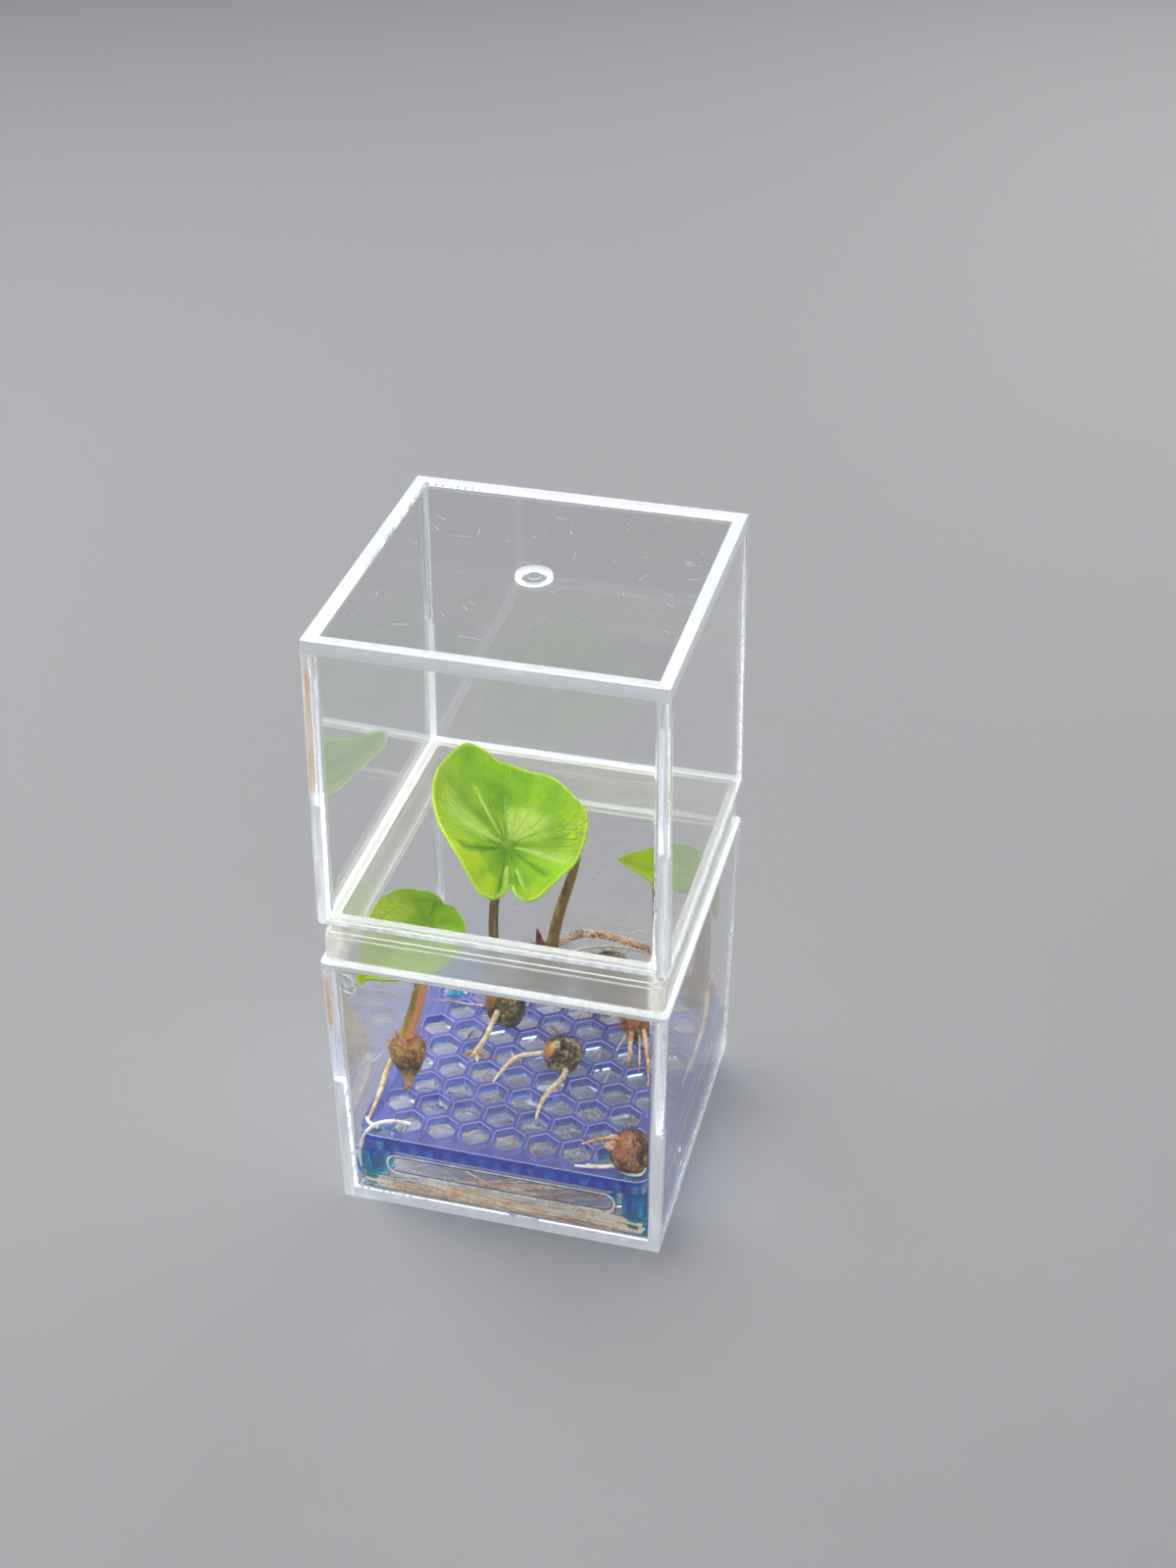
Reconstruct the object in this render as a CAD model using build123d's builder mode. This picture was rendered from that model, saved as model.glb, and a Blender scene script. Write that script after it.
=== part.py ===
# Clear sprouting box: two clear cubes mouth to mouth on a soft ring, with a honeycomb
# tray of sprouted corms inside. Millimetres, +Z up, origin at the bottom centre.
import os
from math import atan, ceil, degrees, radians, sqrt, tan

from build123d import *

os.makedirs("parts", exist_ok=True)

# Clear boxes: both are the same moulding
box_side = 50.0  # outside width at the closed end
box_height = 46.0
box_lean = 0.75  # how far each wall stands out further at the rim than at the closed end
wall = 1.8
floor_thickness = 1.5
outer_corner = 0.2
inner_corner = 0.3
gate_radius = 2.5  # the round moulding mark in the middle of the closed end
gate_depth = 0.35
gate_nub_radius = 0.9
gate_nub_height = 0.2

# Seal ring between the two rims
ring_height = 7.4
ring_lip_height = 0.5
ring_band_height = 4.1
ring_step_height = 0.7
ring_lip_inset = 1.1  # each inset is measured in from the outside of the rims
ring_band_inset = 0.65
ring_step_inset = 0.9
ring_neck_inset = 1.25
ring_corner = 1.0
ring_edge_round = 0.35
tongue_depth = 0.5  # how far the ring reaches into each box
tongue_thickness = 1.1
tongue_clearance = 0.15
tongue_corner = 0.8

# Honeycomb tray
tray_clearance = 0.3  # between the tray and the walls at the floor
tray_leg_height = 8.1
plate_thickness = 2.7
plate_corner = 2.5
leg_radius = 2.1
leg_inset = 0.15  # from the plate's edge to the leg
leg_foot_round = 1.1
leg_flare = 0.9
cell_pitch = 5.35
cell_width = 4.55  # across the flats of a hexagonal hole
plate_border = 1.2  # least solid edge beyond the outermost holes

# Plants: common values
seat_sink = 0.4  # how deep a corm's round end sits below the tray's top before it is trimmed flat
leaf_thickness = 0.5
plant_clearance = 0.5  # between a leaf or a corm and the ring's opening
root_gap = 0.1  # between a lying root and the tray

# Worked out sizes
lean_angle = degrees(atan(box_lean / box_height))
rim_half = box_side / 2 + box_lean
rim_inner_half = rim_half - wall
closed_inner_half = box_side / 2 - wall
lower_rim = box_height
upper_rim = lower_rim + ring_height
total_height = upper_rim + box_height
tongue_half = rim_inner_half - tongue_clearance
ring_opening = tongue_half - tongue_thickness  # half the width of the ring's clear opening
floor = floor_thickness
tray_half = closed_inner_half - tray_clearance
plate_bottom = floor + tray_leg_height
tray_top = plate_bottom + plate_thickness
plant_half = ring_opening - plant_clearance  # plants stay this near the middle


def write(part, label):
    part.label = label
    export_step(part, f"parts/{label}.step")


def clear_box():
    """One open cube, closed end down."""
    with BuildPart() as box:
        with BuildSketch():
            RectangleRounded(box_side, box_side, outer_corner)
        extrude(amount=box_height, taper=-lean_angle)
        inner_side = 2 * (closed_inner_half + floor_thickness * box_lean / box_height)
        with BuildSketch(Plane.XY.offset(floor_thickness)):
            RectangleRounded(inner_side, inner_side, inner_corner)
        extrude(amount=box_height - floor_thickness, taper=-lean_angle, mode=Mode.SUBTRACT)
        with BuildSketch():
            Circle(gate_radius)
        extrude(amount=gate_depth, mode=Mode.SUBTRACT)
        with BuildSketch(Plane.XY.offset(gate_depth - gate_nub_height)):
            Circle(gate_nub_radius)
        extrude(amount=gate_nub_height)
    return box.part


# The lower cube stands closed end down, and the lid is the same cube turned over
with BuildPart() as lower_box:
    add(clear_box())
write(lower_box.part, "lower_box")

with BuildPart() as upper_box:
    with Locations((0, 0, total_height)):
        add(clear_box(), rotation=(180, 0, 0))
write(upper_box.part, "upper_box")


# Seal ring: a lip, a thick band, a step and a neck, with a tongue into each box
band_bottom = lower_rim + ring_lip_height
band_top = band_bottom + ring_band_height
step_top = band_top + ring_step_height
band_half = rim_half - ring_band_inset
with BuildPart() as ring_band:
    with BuildSketch(Plane.XY.offset(band_bottom)):
        RectangleRounded(2 * band_half, 2 * band_half, ring_corner)
    extrude(amount=ring_band_height)
    fillet(ring_band.edges().group_by(Axis.Z)[0], ring_edge_round)
    fillet(ring_band.edges().group_by(Axis.Z)[-1], ring_edge_round)

ring_layers = [  # bottom, top, half width, corner radius
    (lower_rim, band_bottom, rim_half - ring_lip_inset, ring_corner),
    (band_top, step_top, rim_half - ring_step_inset, ring_corner),
    (step_top, upper_rim, rim_half - ring_neck_inset, ring_corner),
    (lower_rim - tongue_depth, upper_rim + tongue_depth, tongue_half, tongue_corner),
]
with BuildPart() as seal_ring:
    add(ring_band.part)
    for bottom, top, half, corner in ring_layers:
        with BuildSketch(Plane.XY.offset(bottom)):
            RectangleRounded(2 * half, 2 * half, corner)
        extrude(amount=top - bottom)
    with BuildSketch(Plane.XY.offset(lower_rim - tongue_depth)):
        RectangleRounded(2 * ring_opening, 2 * ring_opening, tongue_corner)
    extrude(amount=ring_height + 2 * tongue_depth, mode=Mode.SUBTRACT)
write(seal_ring.part, "seal_ring")


def cell_centres():
    """Hexagonal rows along X, every other row half a pitch along."""
    row_pitch = cell_pitch * sqrt(3) / 2
    reach_x = tray_half - plate_border - cell_width / 2
    reach_y = tray_half - plate_border - cell_width / sqrt(3)
    rows = ceil(reach_y / row_pitch)
    centres = []
    for row in range(-rows, rows + 1):
        shift = cell_pitch / 2 if row % 2 else 0
        cells = ceil(reach_x / cell_pitch) + 1
        for cell in range(-cells, cells + 1):
            x, y = cell * cell_pitch + shift, row * row_pitch
            if abs(x) <= reach_x and abs(y) <= reach_y:
                centres.append((x, y))
    return centres


# Honeycomb tray: four flared legs under a plate full of hexagonal holes
leg_reach = tray_half - leg_inset - leg_radius
flare_bottom = tray_leg_height - leg_flare
with BuildPart() as leg:
    with BuildSketch(Plane.XZ):
        with BuildLine():
            Line((0, 0), (leg_radius - leg_foot_round, 0))
            RadiusArc((leg_radius - leg_foot_round, 0), (leg_radius, leg_foot_round), -leg_foot_round)
            Polyline(
                (leg_radius, leg_foot_round),
                (leg_radius, flare_bottom),
                (leg_radius + leg_flare, tray_leg_height),
                (0, tray_leg_height),
                (0, 0),
            )
        make_face()
    revolve(axis=Axis.Z)

with BuildPart() as legs:
    with GridLocations(2 * leg_reach, 2 * leg_reach, 2, 2):
        with Locations((0, 0, floor)):
            add(leg.part)
    with BuildSketch(Plane.XY.offset(floor)):
        RectangleRounded(2 * tray_half, 2 * tray_half, plate_corner)
    extrude(amount=tray_leg_height, mode=Mode.INTERSECT)

with BuildPart() as honeycomb_tray:
    add(legs.part)
    with BuildSketch(Plane.XY.offset(plate_bottom)):
        RectangleRounded(2 * tray_half, 2 * tray_half, plate_corner)
        with Locations(cell_centres()):
            RegularPolygon(cell_width / 2, 6, major_radius=False, rotation=30, mode=Mode.SUBTRACT)
    extrude(amount=plate_thickness)
write(honeycomb_tray.part, "honeycomb_tray")


def corm(foot, radius, height, lean=(0, 0, 1), neck=0.3, tip=0.15, belly=0.5):
    """A turnip shape that stands on the tray: belly is where it is widest, as a share of its height."""
    axis = Vector(*lean).normalized()
    start = Vector(foot[0], foot[1], tray_top - seat_sink)
    side = Vector(1, 0, 0).cross(axis).cross(axis).normalized()
    profile = Plane(origin=start, x_dir=side, z_dir=side.cross(axis))
    with BuildPart() as body:
        with BuildSketch(profile):
            with BuildLine():
                Spline(
                    (tip * radius, 0),
                    (0.8 * radius, 0.45 * belly * height),
                    (radius, belly * height),
                    (0.75 * radius, (0.6 + 0.4 * belly) * height),
                    (neck * radius, height),
                )
                Polyline((neck * radius, height), (0, height), (0, 0), (tip * radius, 0))
            make_face()
        revolve(axis=Axis(start, axis))
        split(bisect_by=Plane.XY.offset(tray_top), keep=Keep.TOP)
    return body.part


def bend_radii(points):
    """The largest arc that each corner's two runs allow."""
    radii = []
    for before, here, after in zip(points, points[1:], points[2:]):
        first, second = Vector(*here) - Vector(*before), Vector(*after) - Vector(*here)
        turn = first.get_angle(second)
        shorter = min(first.length, second.length)
        radii.append(0.45 * shorter / tan(radians(turn / 2)))
    return radii


def tube(points, radius):
    """A round stalk or root along straight runs joined by tangent arcs."""
    with BuildPart() as body:
        with BuildLine() as route:
            if len(points) == 2:
                Line(*points)
            else:
                FilletPolyline(*points, radius=bend_radii(points))
        start = Plane(origin=route.wire() @ 0, z_dir=route.wire() % 0)
        with BuildSketch(start):
            Circle(radius)
        sweep()
    return body.part


def blade_plane(attach, heading, normal):
    """The plane that touches a blade where its stalk meets it, with X towards the tip and Y to its left."""
    up = Vector(*normal).normalized()
    forward = Vector(*heading, 0)
    return Plane(origin=attach, x_dir=forward - up * forward.dot(up), z_dir=up)


def bend(plane, bend_radius, extra=0.0, trough=False):
    """The ball, or for a trough the long roll, that the middle of a blade is bent round."""
    centre = plane.origin + plane.z_dir * bend_radius
    with BuildPart() as form:
        if trough:
            with Locations(Plane(origin=centre, z_dir=plane.x_dir)):
                Cylinder(bend_radius + extra, 4 * bend_radius)
        else:
            with Locations(centre):
                Sphere(bend_radius + extra)
    return form.part


def leaf(plane, outline, bend_radius, trough=False):
    """A thin bent blade. The outline starts at the notch between its two lobes."""
    with BuildPart() as blade:
        with BuildSketch(plane.offset(-leaf_thickness)):
            with BuildLine():
                Spline(*outline, outline[0])
            make_face()
        extrude(amount=bend_radius / 2)
        add(bend(plane, bend_radius, leaf_thickness / 2, trough), mode=Mode.INTERSECT)
        add(bend(plane, bend_radius, -leaf_thickness / 2, trough), mode=Mode.SUBTRACT)
    return blade.part


def cut_by(body, *others):
    with BuildPart() as trimmed:
        add(body)
        for other in others:
            add(other, mode=Mode.SUBTRACT)
    return trimmed.part


def join(*bodies):
    with BuildPart() as joined:
        for body in bodies:
            add(body)
    return joined.part


def crown(foot, height, lean=(0, 0, 1), depth=1.0):
    """A point on a corm's axis, depth below its top."""
    axis = Vector(*lean).normalized()
    return Vector(foot[0], foot[1], tray_top - seat_sink) + axis * (height - depth)


def at(x, y, above):
    """A point given by its height above the tray."""
    return (x, y, tray_top + above)


def lay(x, y, radius):
    """A point on the middle of a root that lies on the tray."""
    return (x, y, tray_top + root_gap + radius)


# The least and greatest x and y that a plant may reach
left, right = -plant_half, plant_half
front, back = -plant_half, plant_half

# Plant at the front left, with a turnip-shaped corm
front_left_foot = (left + 3.9, front + 11.9)
front_left_lean = (-0.05, 0.24, 1)
front_left_height = 8.6
front_left_corm = corm(front_left_foot, 3.1, front_left_height, front_left_lean, neck=0.4, belly=0.55)
write(front_left_corm, "front_left_corm")

front_left_attach = at(left + 7.8, front + 11.8, 31.1)
front_left_plane = blade_plane(front_left_attach, (-7.6, -9.7), (0.12, -0.1, 1))
front_left_bend = 22.0
front_left_outline = [
    (-3.6, -0.6),
    (-5.6, 3.2),
    (-1.0, 7.6),
    (5.6, 7.6),
    (9.4, 3.8),
    (11.0, 0.0),
    (8.2, -3.6),
    (2.6, -6.4),
    (-3.6, -7.0),
    (-5.8, -3.6),
]
write(leaf(front_left_plane, front_left_outline, front_left_bend), "front_left_leaf")

front_left_stalk = cut_by(
    tube(
        [
            tuple(crown(front_left_foot, front_left_height, front_left_lean)),
            at(left + 5.3, front + 14.0, 17.7),
            front_left_attach,
        ],
        0.85,
    ),
    front_left_corm,
    bend(front_left_plane, front_left_bend, leaf_thickness / 2),
)
write(front_left_stalk, "front_left_stalk")

front_left_roots = cut_by(
    tube(
        [
            at(left + 2.6, front + 12.6, 3.7),
            at(left + 1.3, front + 10.7, 2.3),
            lay(left + 0.9, front + 7.2, 0.4),
            lay(left + 0.8, front + 3.8, 0.4),
        ],
        0.35,
    ),
    front_left_corm,
)
write(front_left_roots, "front_left_roots")

# Plant with the big leaf, whose corm lies over to the left
big_foot = (-6.9, 7.8)
big_lean = (-0.4, 0.22, 1)
big_height = 7.4
big_corm = corm(big_foot, 3.2, big_height, big_lean, neck=0.4, tip=0.5, belly=0.48)
write(big_corm, "big_leaf_corm")

big_attach = at(-5.8, back - 19.0, 38.3)
big_plane = blade_plane(big_attach, (-11.8, 18.0), (0.29, -0.02, 1))
big_bend = 17.0
big_outline = [
    (-10.9, 3.1),
    (-12.0, 7.0),
    (-6.0, 10.2),
    (3.0, 11.0),
    (12.4, 8.0),
    (19.4, 2.2),
    (22.0, -1.2),
    (19.4, -4.6),
    (12.4, -10.6),
    (4.0, -13.0),
    (-4.6, -10.8),
    (-10.6, -5.4),
    (-12.6, 0.6),
]
write(leaf(big_plane, big_outline, big_bend, trough=True), "big_leaf")

big_stalk = cut_by(
    tube([tuple(crown(big_foot, big_height, big_lean)), at(-10.2, 8.8, 17.7), big_attach], 0.75),
    big_corm,
    bend(big_plane, big_bend, leaf_thickness / 2, trough=True),
)
write(big_stalk, "big_leaf_stalk")

big_leaf_roots = cut_by(
    tube([at(-8.7, 7.0, 4.3), at(-10.8, 4.6, 3.2), at(-12.4, 2.8, 1.4), lay(-13.6, 0.8, 0.45)], 0.45),
    big_corm,
)
write(big_leaf_roots, "big_leaf_roots")

# Plant at the back, whose young leaf stands behind the big one
back_foot = (-4.4, back - 4.5)
back_height = 9.0
back_corm = corm(back_foot, 4.1, back_height, neck=0.5, tip=0.55, belly=0.5)
write(back_corm, "back_corm")

back_attach = at(2.2, back - 7.4, 29.6)
back_plane = blade_plane(back_attach, (-9.0, 1.8), (0.3, 0, 1))
back_bend = 12.0
back_outline = [
    (0.1, 0.0),
    (-0.7, 1.1),
    (2.4, 2.6),
    (6.4, 2.2),
    (9.8, 0.0),
    (6.4, -2.2),
    (2.4, -2.6),
    (-0.7, -1.1),
]
write(leaf(back_plane, back_outline, back_bend), "back_leaf")

back_stalk = cut_by(
    tube(
        [
            at(-3.4, back - 3.6, 7.0),
            at(-2.4, back - 4.8, 13.7),
            at(-0.2, back - 6.6, 21.2),
            back_attach,
        ],
        0.9,
    ),
    back_corm,
    bend(back_plane, back_bend, leaf_thickness / 2),
)
write(back_stalk, "back_stalk")

with BuildPart() as sheath:
    with Locations(Plane(origin=at(-4.9, back - 4.2, 6.4), z_dir=(-0.1, 0, 1))):
        Cone(0.8, 0.25, 5.6, align=(Align.CENTER, Align.CENTER, Align.MIN))
write(cut_by(sheath.part, back_corm, back_stalk), "back_sheath")

# Plant at the right, leaning into the back corner
right_foot = (right - 2.7, back - 2.9)
right_height = 6.0
right_corm = corm(right_foot, 2.65, right_height, neck=0.45, tip=0.5, belly=0.5)
write(right_corm, "right_corm")

right_attach = at(right - 2.3, back - 4.6, 25.9)
right_plane = blade_plane(right_attach, (-11.6, 0.2), (0.0, 0.1, 1))
right_bend = 32.0
right_outline = [
    (-1.2, 0.4),
    (-1.8, 3.0),
    (1.8, 4.1),
    (5.4, 2.5),
    (11.4, -0.1),
    (6.7, -3.1),
    (2.6, -4.2),
    (-1.8, -3.2),
]
hanging_lobe = [
    (back - 1.4, 27.0),
    (back - 1.6, 21.4),
    (back - 3.4, 18.2),
    (back - 6.0, 21.8),
    (back - 6.6, 27.0),
]
with BuildPart() as right_leaf:
    add(leaf(right_plane, right_outline, right_bend))
    with BuildSketch(Plane.YZ.offset(right - leaf_thickness)):
        with BuildLine():
            rim = [(y, tray_top + above) for y, above in hanging_lobe]
            Spline(*rim)
            Line(rim[-1], rim[0])
        make_face()
    extrude(amount=leaf_thickness)
write(right_leaf.part, "right_leaf")

right_stalk = cut_by(
    tube([tuple(crown(right_foot, right_height)), at(right - 2.0, back - 3.0, 15.7), right_attach], 1.1),
    right_corm,
    bend(right_plane, right_bend, leaf_thickness / 2),
)
write(cut_by(right_stalk, right_leaf.part), "right_stalk")

right_roots = cut_by(
    tube(
        [
            at(right - 1.1, back - 4.2, 3.9),
            at(right - 0.5, back - 6.6, 3.1),
            at(right - 0.5, back - 10.6, 1.1),
            lay(right - 0.5, back - 14.4, 0.35),
        ],
        0.35,
    ),
    right_corm,
)
write(right_roots, "right_roots")

# Corm in the middle, with two roots
centre_foot = (4.0, -0.2)
centre_corm = corm(centre_foot, 3.4, 5.8, neck=0.5, tip=0.55, belly=0.5)
write(centre_corm, "centre_corm")

centre_roots = cut_by(
    join(
        tube([at(1.2, -0.4, 2.1), at(-1.8, -0.5, 1.9), at(-4.4, -2.0, 1.2), lay(-6.6, -4.2, 0.38)], 0.38),
        tube([at(4.6, -2.4, 1.9), at(4.2, -5.0, 1.7), at(2.6, -8.0, 1.2), lay(1.6, -10.6, 0.42)], 0.42),
    ),
    centre_corm,
)
write(centre_roots, "centre_roots")

# Corm at the front right, with a red bud
front_right_foot = (right - 3.4, front + 3.4)
front_right_corm = corm(front_right_foot, 3.35, 6.8, neck=0.5, tip=0.6, belly=0.5)
write(front_right_corm, "front_right_corm")

bud_root = at(front_right_foot[0] - 1.8, front_right_foot[1] + 0.4, 3.2)
with BuildPart() as bud:
    with Locations(Plane(origin=bud_root, z_dir=(-1, -0.1, 0.25))):
        Cone(1.5, 0.45, 4.6, align=(Align.CENTER, Align.CENTER, Align.MIN))
write(cut_by(bud.part, front_right_corm), "front_right_bud")

front_right_roots = cut_by(
    tube(
        [
            at(right - 4.5, front + 2.8, 2.1),
            at(right - 8.0, front + 1.8, 1.7),
            at(right - 11.6, front + 1.0, 1.0),
            lay(right - 14.6, front + 0.5, 0.32),
        ],
        0.32,
    ),
    front_right_corm,
)
write(front_right_roots, "front_right_roots")

# Dark hairy corm at the back
dark_foot = (6.6, back - 4.9)
dark_corm = corm(dark_foot, 4.5, 9.6, neck=0.5, tip=0.55, belly=0.48)
write(dark_corm, "dark_corm")

# Red-brown corm near the right wall
red_foot = (13.4, 9.8)
red_corm = corm(red_foot, 2.6, 5.2, neck=0.5, tip=0.5, belly=0.5)
write(red_corm, "red_corm")

red_corm_roots = cut_by(
    join(
        tube([at(13.7, 8.4, 2.3), at(13.2, 6.4, 1.9), at(13.0, 4.0, 1.2), lay(12.6, 1.4, 0.36)], 0.36),
        tube([at(15.6, 8.6, 2.3), at(16.6, 6.4, 1.9), at(17.2, 3.6, 1.2), lay(17.6, 0.6, 0.32)], 0.32),
    ),
    red_corm,
)
write(red_corm_roots, "red_corm_roots")

# Reddish hairy root from the back corm along the back wall to the right plant's corm
back_wall_root = cut_by(
    tube(
        [
            at(-2.6, back - 2.6, 5.6),
            at(0.6, back - 0.8, 8.0),
            at(6.0, back - 0.6, 8.6),
            at(12.0, back - 0.8, 7.6),
            at(right - 4.4, back - 2.0, 5.0),
        ],
        0.55,
    ),
    back_corm,
    dark_corm,
    right_corm,
)
write(back_wall_root, "back_wall_root")

# White roots over the front left corner of the tray
tray_edge_roots = tube(
    [
        lay(left + 6.2, front + 2.5, 0.35),
        at(left + 3.4, front + 1.9, 0.9),
        lay(left + 1.2, front + 0.5, 0.35),
    ],
    0.35,
)
write(tray_edge_roots, "tray_edge_roots")

# Root mat on the floor between the legs
mat_gap = 0.05
mat_thickness = 1.7
mat_margin = 0.8
mat_leg_gap = 0.35
mat_bottom = floor + mat_gap
mat_top = mat_bottom + mat_thickness
mat_half = tray_half - mat_margin
with BuildPart() as root_mat:
    with BuildSketch(Plane.XY.offset(mat_bottom)):
        RectangleRounded(2 * mat_half, 2 * mat_half, inner_corner)
        with GridLocations(2 * leg_reach, 2 * leg_reach, 2, 2):
            Circle(leg_radius + mat_leg_gap, mode=Mode.SUBTRACT)
    extrude(amount=mat_thickness)
write(root_mat.part, "root_mat")

# Roots that hang from the walls of the honeycomb down to the mat
hanging_radius = 0.35
hanging_sway = 1.6
hanging_bury = 0.3  # how far each end runs on before it is trimmed flat on the plate or the mat
hanging_places = [(-13.4, 8.0), (-2.7, 12.4), (8.0, 6.2), (13.4, 15.4), (-8.0, 3.1)]
with BuildPart() as hanging_roots:
    for number, (x, y) in enumerate(hanging_places):
        sway = hanging_sway if number % 2 else -hanging_sway
        top, bottom = plate_bottom + hanging_bury, mat_top - hanging_bury
        middle = (x + sway / 2, y, (top + bottom) / 2)
        add(tube([(x, y, top), middle, (x + sway, y + sway, bottom)], hanging_radius))
    split(bisect_by=Plane.XY.offset(plate_bottom), keep=Keep.BOTTOM)
    split(bisect_by=Plane.XY.offset(mat_top), keep=Keep.TOP)
write(hanging_roots.part, "hanging_roots")
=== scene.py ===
# Clear sprouting box: two clear cubes mouth to mouth on a soft ring, with corms that sprout on a blue
# honeycomb tray over water
import bpy
import math
import random
from mathutils import Matrix, Vector, noise


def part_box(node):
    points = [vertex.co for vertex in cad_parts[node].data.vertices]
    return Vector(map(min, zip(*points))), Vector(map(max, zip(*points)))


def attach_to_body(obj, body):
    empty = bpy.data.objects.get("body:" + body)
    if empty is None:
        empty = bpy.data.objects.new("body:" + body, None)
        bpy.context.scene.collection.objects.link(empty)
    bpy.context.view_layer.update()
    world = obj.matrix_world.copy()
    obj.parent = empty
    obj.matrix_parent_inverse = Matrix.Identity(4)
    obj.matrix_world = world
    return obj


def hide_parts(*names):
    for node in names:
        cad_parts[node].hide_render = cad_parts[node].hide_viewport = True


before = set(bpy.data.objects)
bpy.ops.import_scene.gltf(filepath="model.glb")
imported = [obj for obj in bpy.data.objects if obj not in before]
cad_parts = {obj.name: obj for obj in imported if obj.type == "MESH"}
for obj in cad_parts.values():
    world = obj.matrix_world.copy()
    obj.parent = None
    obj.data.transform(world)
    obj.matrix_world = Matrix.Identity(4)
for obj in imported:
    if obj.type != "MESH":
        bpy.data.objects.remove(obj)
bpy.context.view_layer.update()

mm = 0.001
print("frame loaded")


# Where the CAD pieces are, in metres
trayLow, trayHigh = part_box("honeycomb_tray")
matLow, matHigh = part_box("root_mat")
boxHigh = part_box("lower_box")[1]
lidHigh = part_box("upper_box")[1]
trayTop = trayHigh.z
trayHalf = trayHigh.x
floorTop = trayLow.z
plateBottom = trayTop - 2.7 * mm

# Sizes of these pieces in mm, which the plants' points are given in too
plateTop = trayTop / mm
boxHalf = 25.0  # outside, at the closed end
boxHeight = 46
boxLean = 0.75 / boxHeight  # how far a wall leans out for each millimetre of its height
wall = 1.8
cellPitch = 5.35
cellWidth = 4.55
plateBorder = 1.2
legInset = 0.15
legRadius = 2.1
plantReach = 22.4  # plants pass through the ring with the tray, so they stay this near the middle


# Small helpers for working in Blender as by hand
def deselectAll():
    if bpy.context.mode != "OBJECT":
        bpy.ops.object.mode_set(mode="OBJECT")
    bpy.ops.object.select_all(action="DESELECT")


def pick(*objects):
    deselectAll()
    for one in objects:
        one.select_set(True)
    bpy.context.view_layer.objects.active = objects[-1]


def editAll(obj):
    pick(obj)
    bpy.ops.object.mode_set(mode="EDIT")
    bpy.ops.mesh.select_all(action="SELECT")


def objectMode():
    bpy.ops.object.mode_set(mode="OBJECT")


def addModifier(obj, kind, **values):
    pick(obj)
    modifier = obj.modifiers.new(kind.title(), kind)
    for name, value in values.items():
        setattr(modifier, name, value)
    bpy.ops.object.modifier_apply(modifier=modifier.name)


def joinAll(objects, name):
    pick(*objects)
    bpy.ops.object.join()
    joined = bpy.context.view_layer.objects.active
    joined.name = joined.data.name = name
    return joined


def newObject(operator, name, **values):
    deselectAll()
    operator(**values)
    obj = bpy.context.object
    obj.name = obj.data.name = name
    return obj


def within(value, low=0.0, high=1.0):
    return max(low, min(high, value))


def finishPiece(obj, body, materials=(), replaced=(), smoothAngle=60):
    pick(obj)
    bpy.ops.object.transform_apply(location=True, rotation=True, scale=True)
    if smoothAngle == 0:
        bpy.ops.object.shade_flat()
    elif smoothAngle:
        bpy.ops.object.shade_smooth_by_angle(angle=math.radians(smoothAngle))
    if materials:
        obj.data.materials.clear()
        for material in materials:
            obj.data.materials.append(material)
    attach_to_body(obj, body)
    if replaced:
        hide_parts(*replaced)
    deselectAll()
    return obj


def copyNode(node, name):
    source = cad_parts[node]
    copy = source.copy()
    copy.data = source.data.copy()
    copy.name = copy.data.name = name
    bpy.context.scene.collection.objects.link(copy)
    copy.parent = None
    for key in list(copy.keys()):
        if key.startswith("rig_"):
            del copy[key]
    editAll(copy)
    bpy.ops.mesh.remove_doubles(threshold=0.002 * mm)
    objectMode()
    return copy


# Materials
def newMaterial(name):
    material = bpy.data.materials.new(name)
    material.use_nodes = True
    return material, material.node_tree


def feed(tree, socket, value):
    if isinstance(value, bpy.types.NodeSocket):
        tree.links.new(value, socket)
    elif isinstance(value, tuple) and len(socket.default_value) == 4:
        socket.default_value = (*value, 1)
    else:
        socket.default_value = value


def addNode(tree, kind, inputs=(), **values):
    node = tree.nodes.new(kind)
    for name, value in values.items():
        setattr(node, name, value)
    for name, value in dict(inputs).items():
        feed(tree, node.inputs[name], value)
    return node


def dress(tree, looks):
    for name, value in looks.items():
        feed(tree, tree.nodes["Principled BSDF"].inputs[name], value)


def colourRamp(tree, value, *stops):
    ramp = addNode(tree, "ShaderNodeValToRGB", {"Fac": value})
    elements = ramp.color_ramp.elements
    while len(elements) < len(stops):
        elements.new(1)
    for element, (place, colour) in zip(elements, stops):
        element.position = place
        element.color = (*colour, 1)
    return ramp.outputs["Color"]


def calculate(tree, operation, *values):
    return addNode(tree, "ShaderNodeMath", enumerate(values), operation=operation).outputs[0]


def product(tree, first, *others):
    for other in others:
        first = calculate(tree, "MULTIPLY", first, other)
    return first


def largest(tree, first, *others):
    for other in others:
        first = calculate(tree, "MAXIMUM", first, other)
    return first


def mapRange(tree, value, low, high, newLow=0.0, newHigh=1.0):
    inputs = enumerate((value, low, high, newLow, newHigh))
    return addNode(tree, "ShaderNodeMapRange", inputs).outputs["Result"]


def mixColours(tree, share, first, second):
    return addNode(tree, "ShaderNodeMix", {0: share, 6: first, 7: second}, data_type="RGBA").outputs[2]


def stretched(tree, vector, stretch):
    return addNode(tree, "ShaderNodeVectorMath", {0: vector, 1: stretch}, operation="MULTIPLY").outputs[0]


def objectPlace(tree, stretch=(1, 1, 1)):
    return stretched(tree, addNode(tree, "ShaderNodeTexCoord").outputs["Object"], stretch)


def splitPlace(tree):
    return addNode(tree, "ShaderNodeSeparateXYZ", {0: objectPlace(tree)}).outputs


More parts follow.
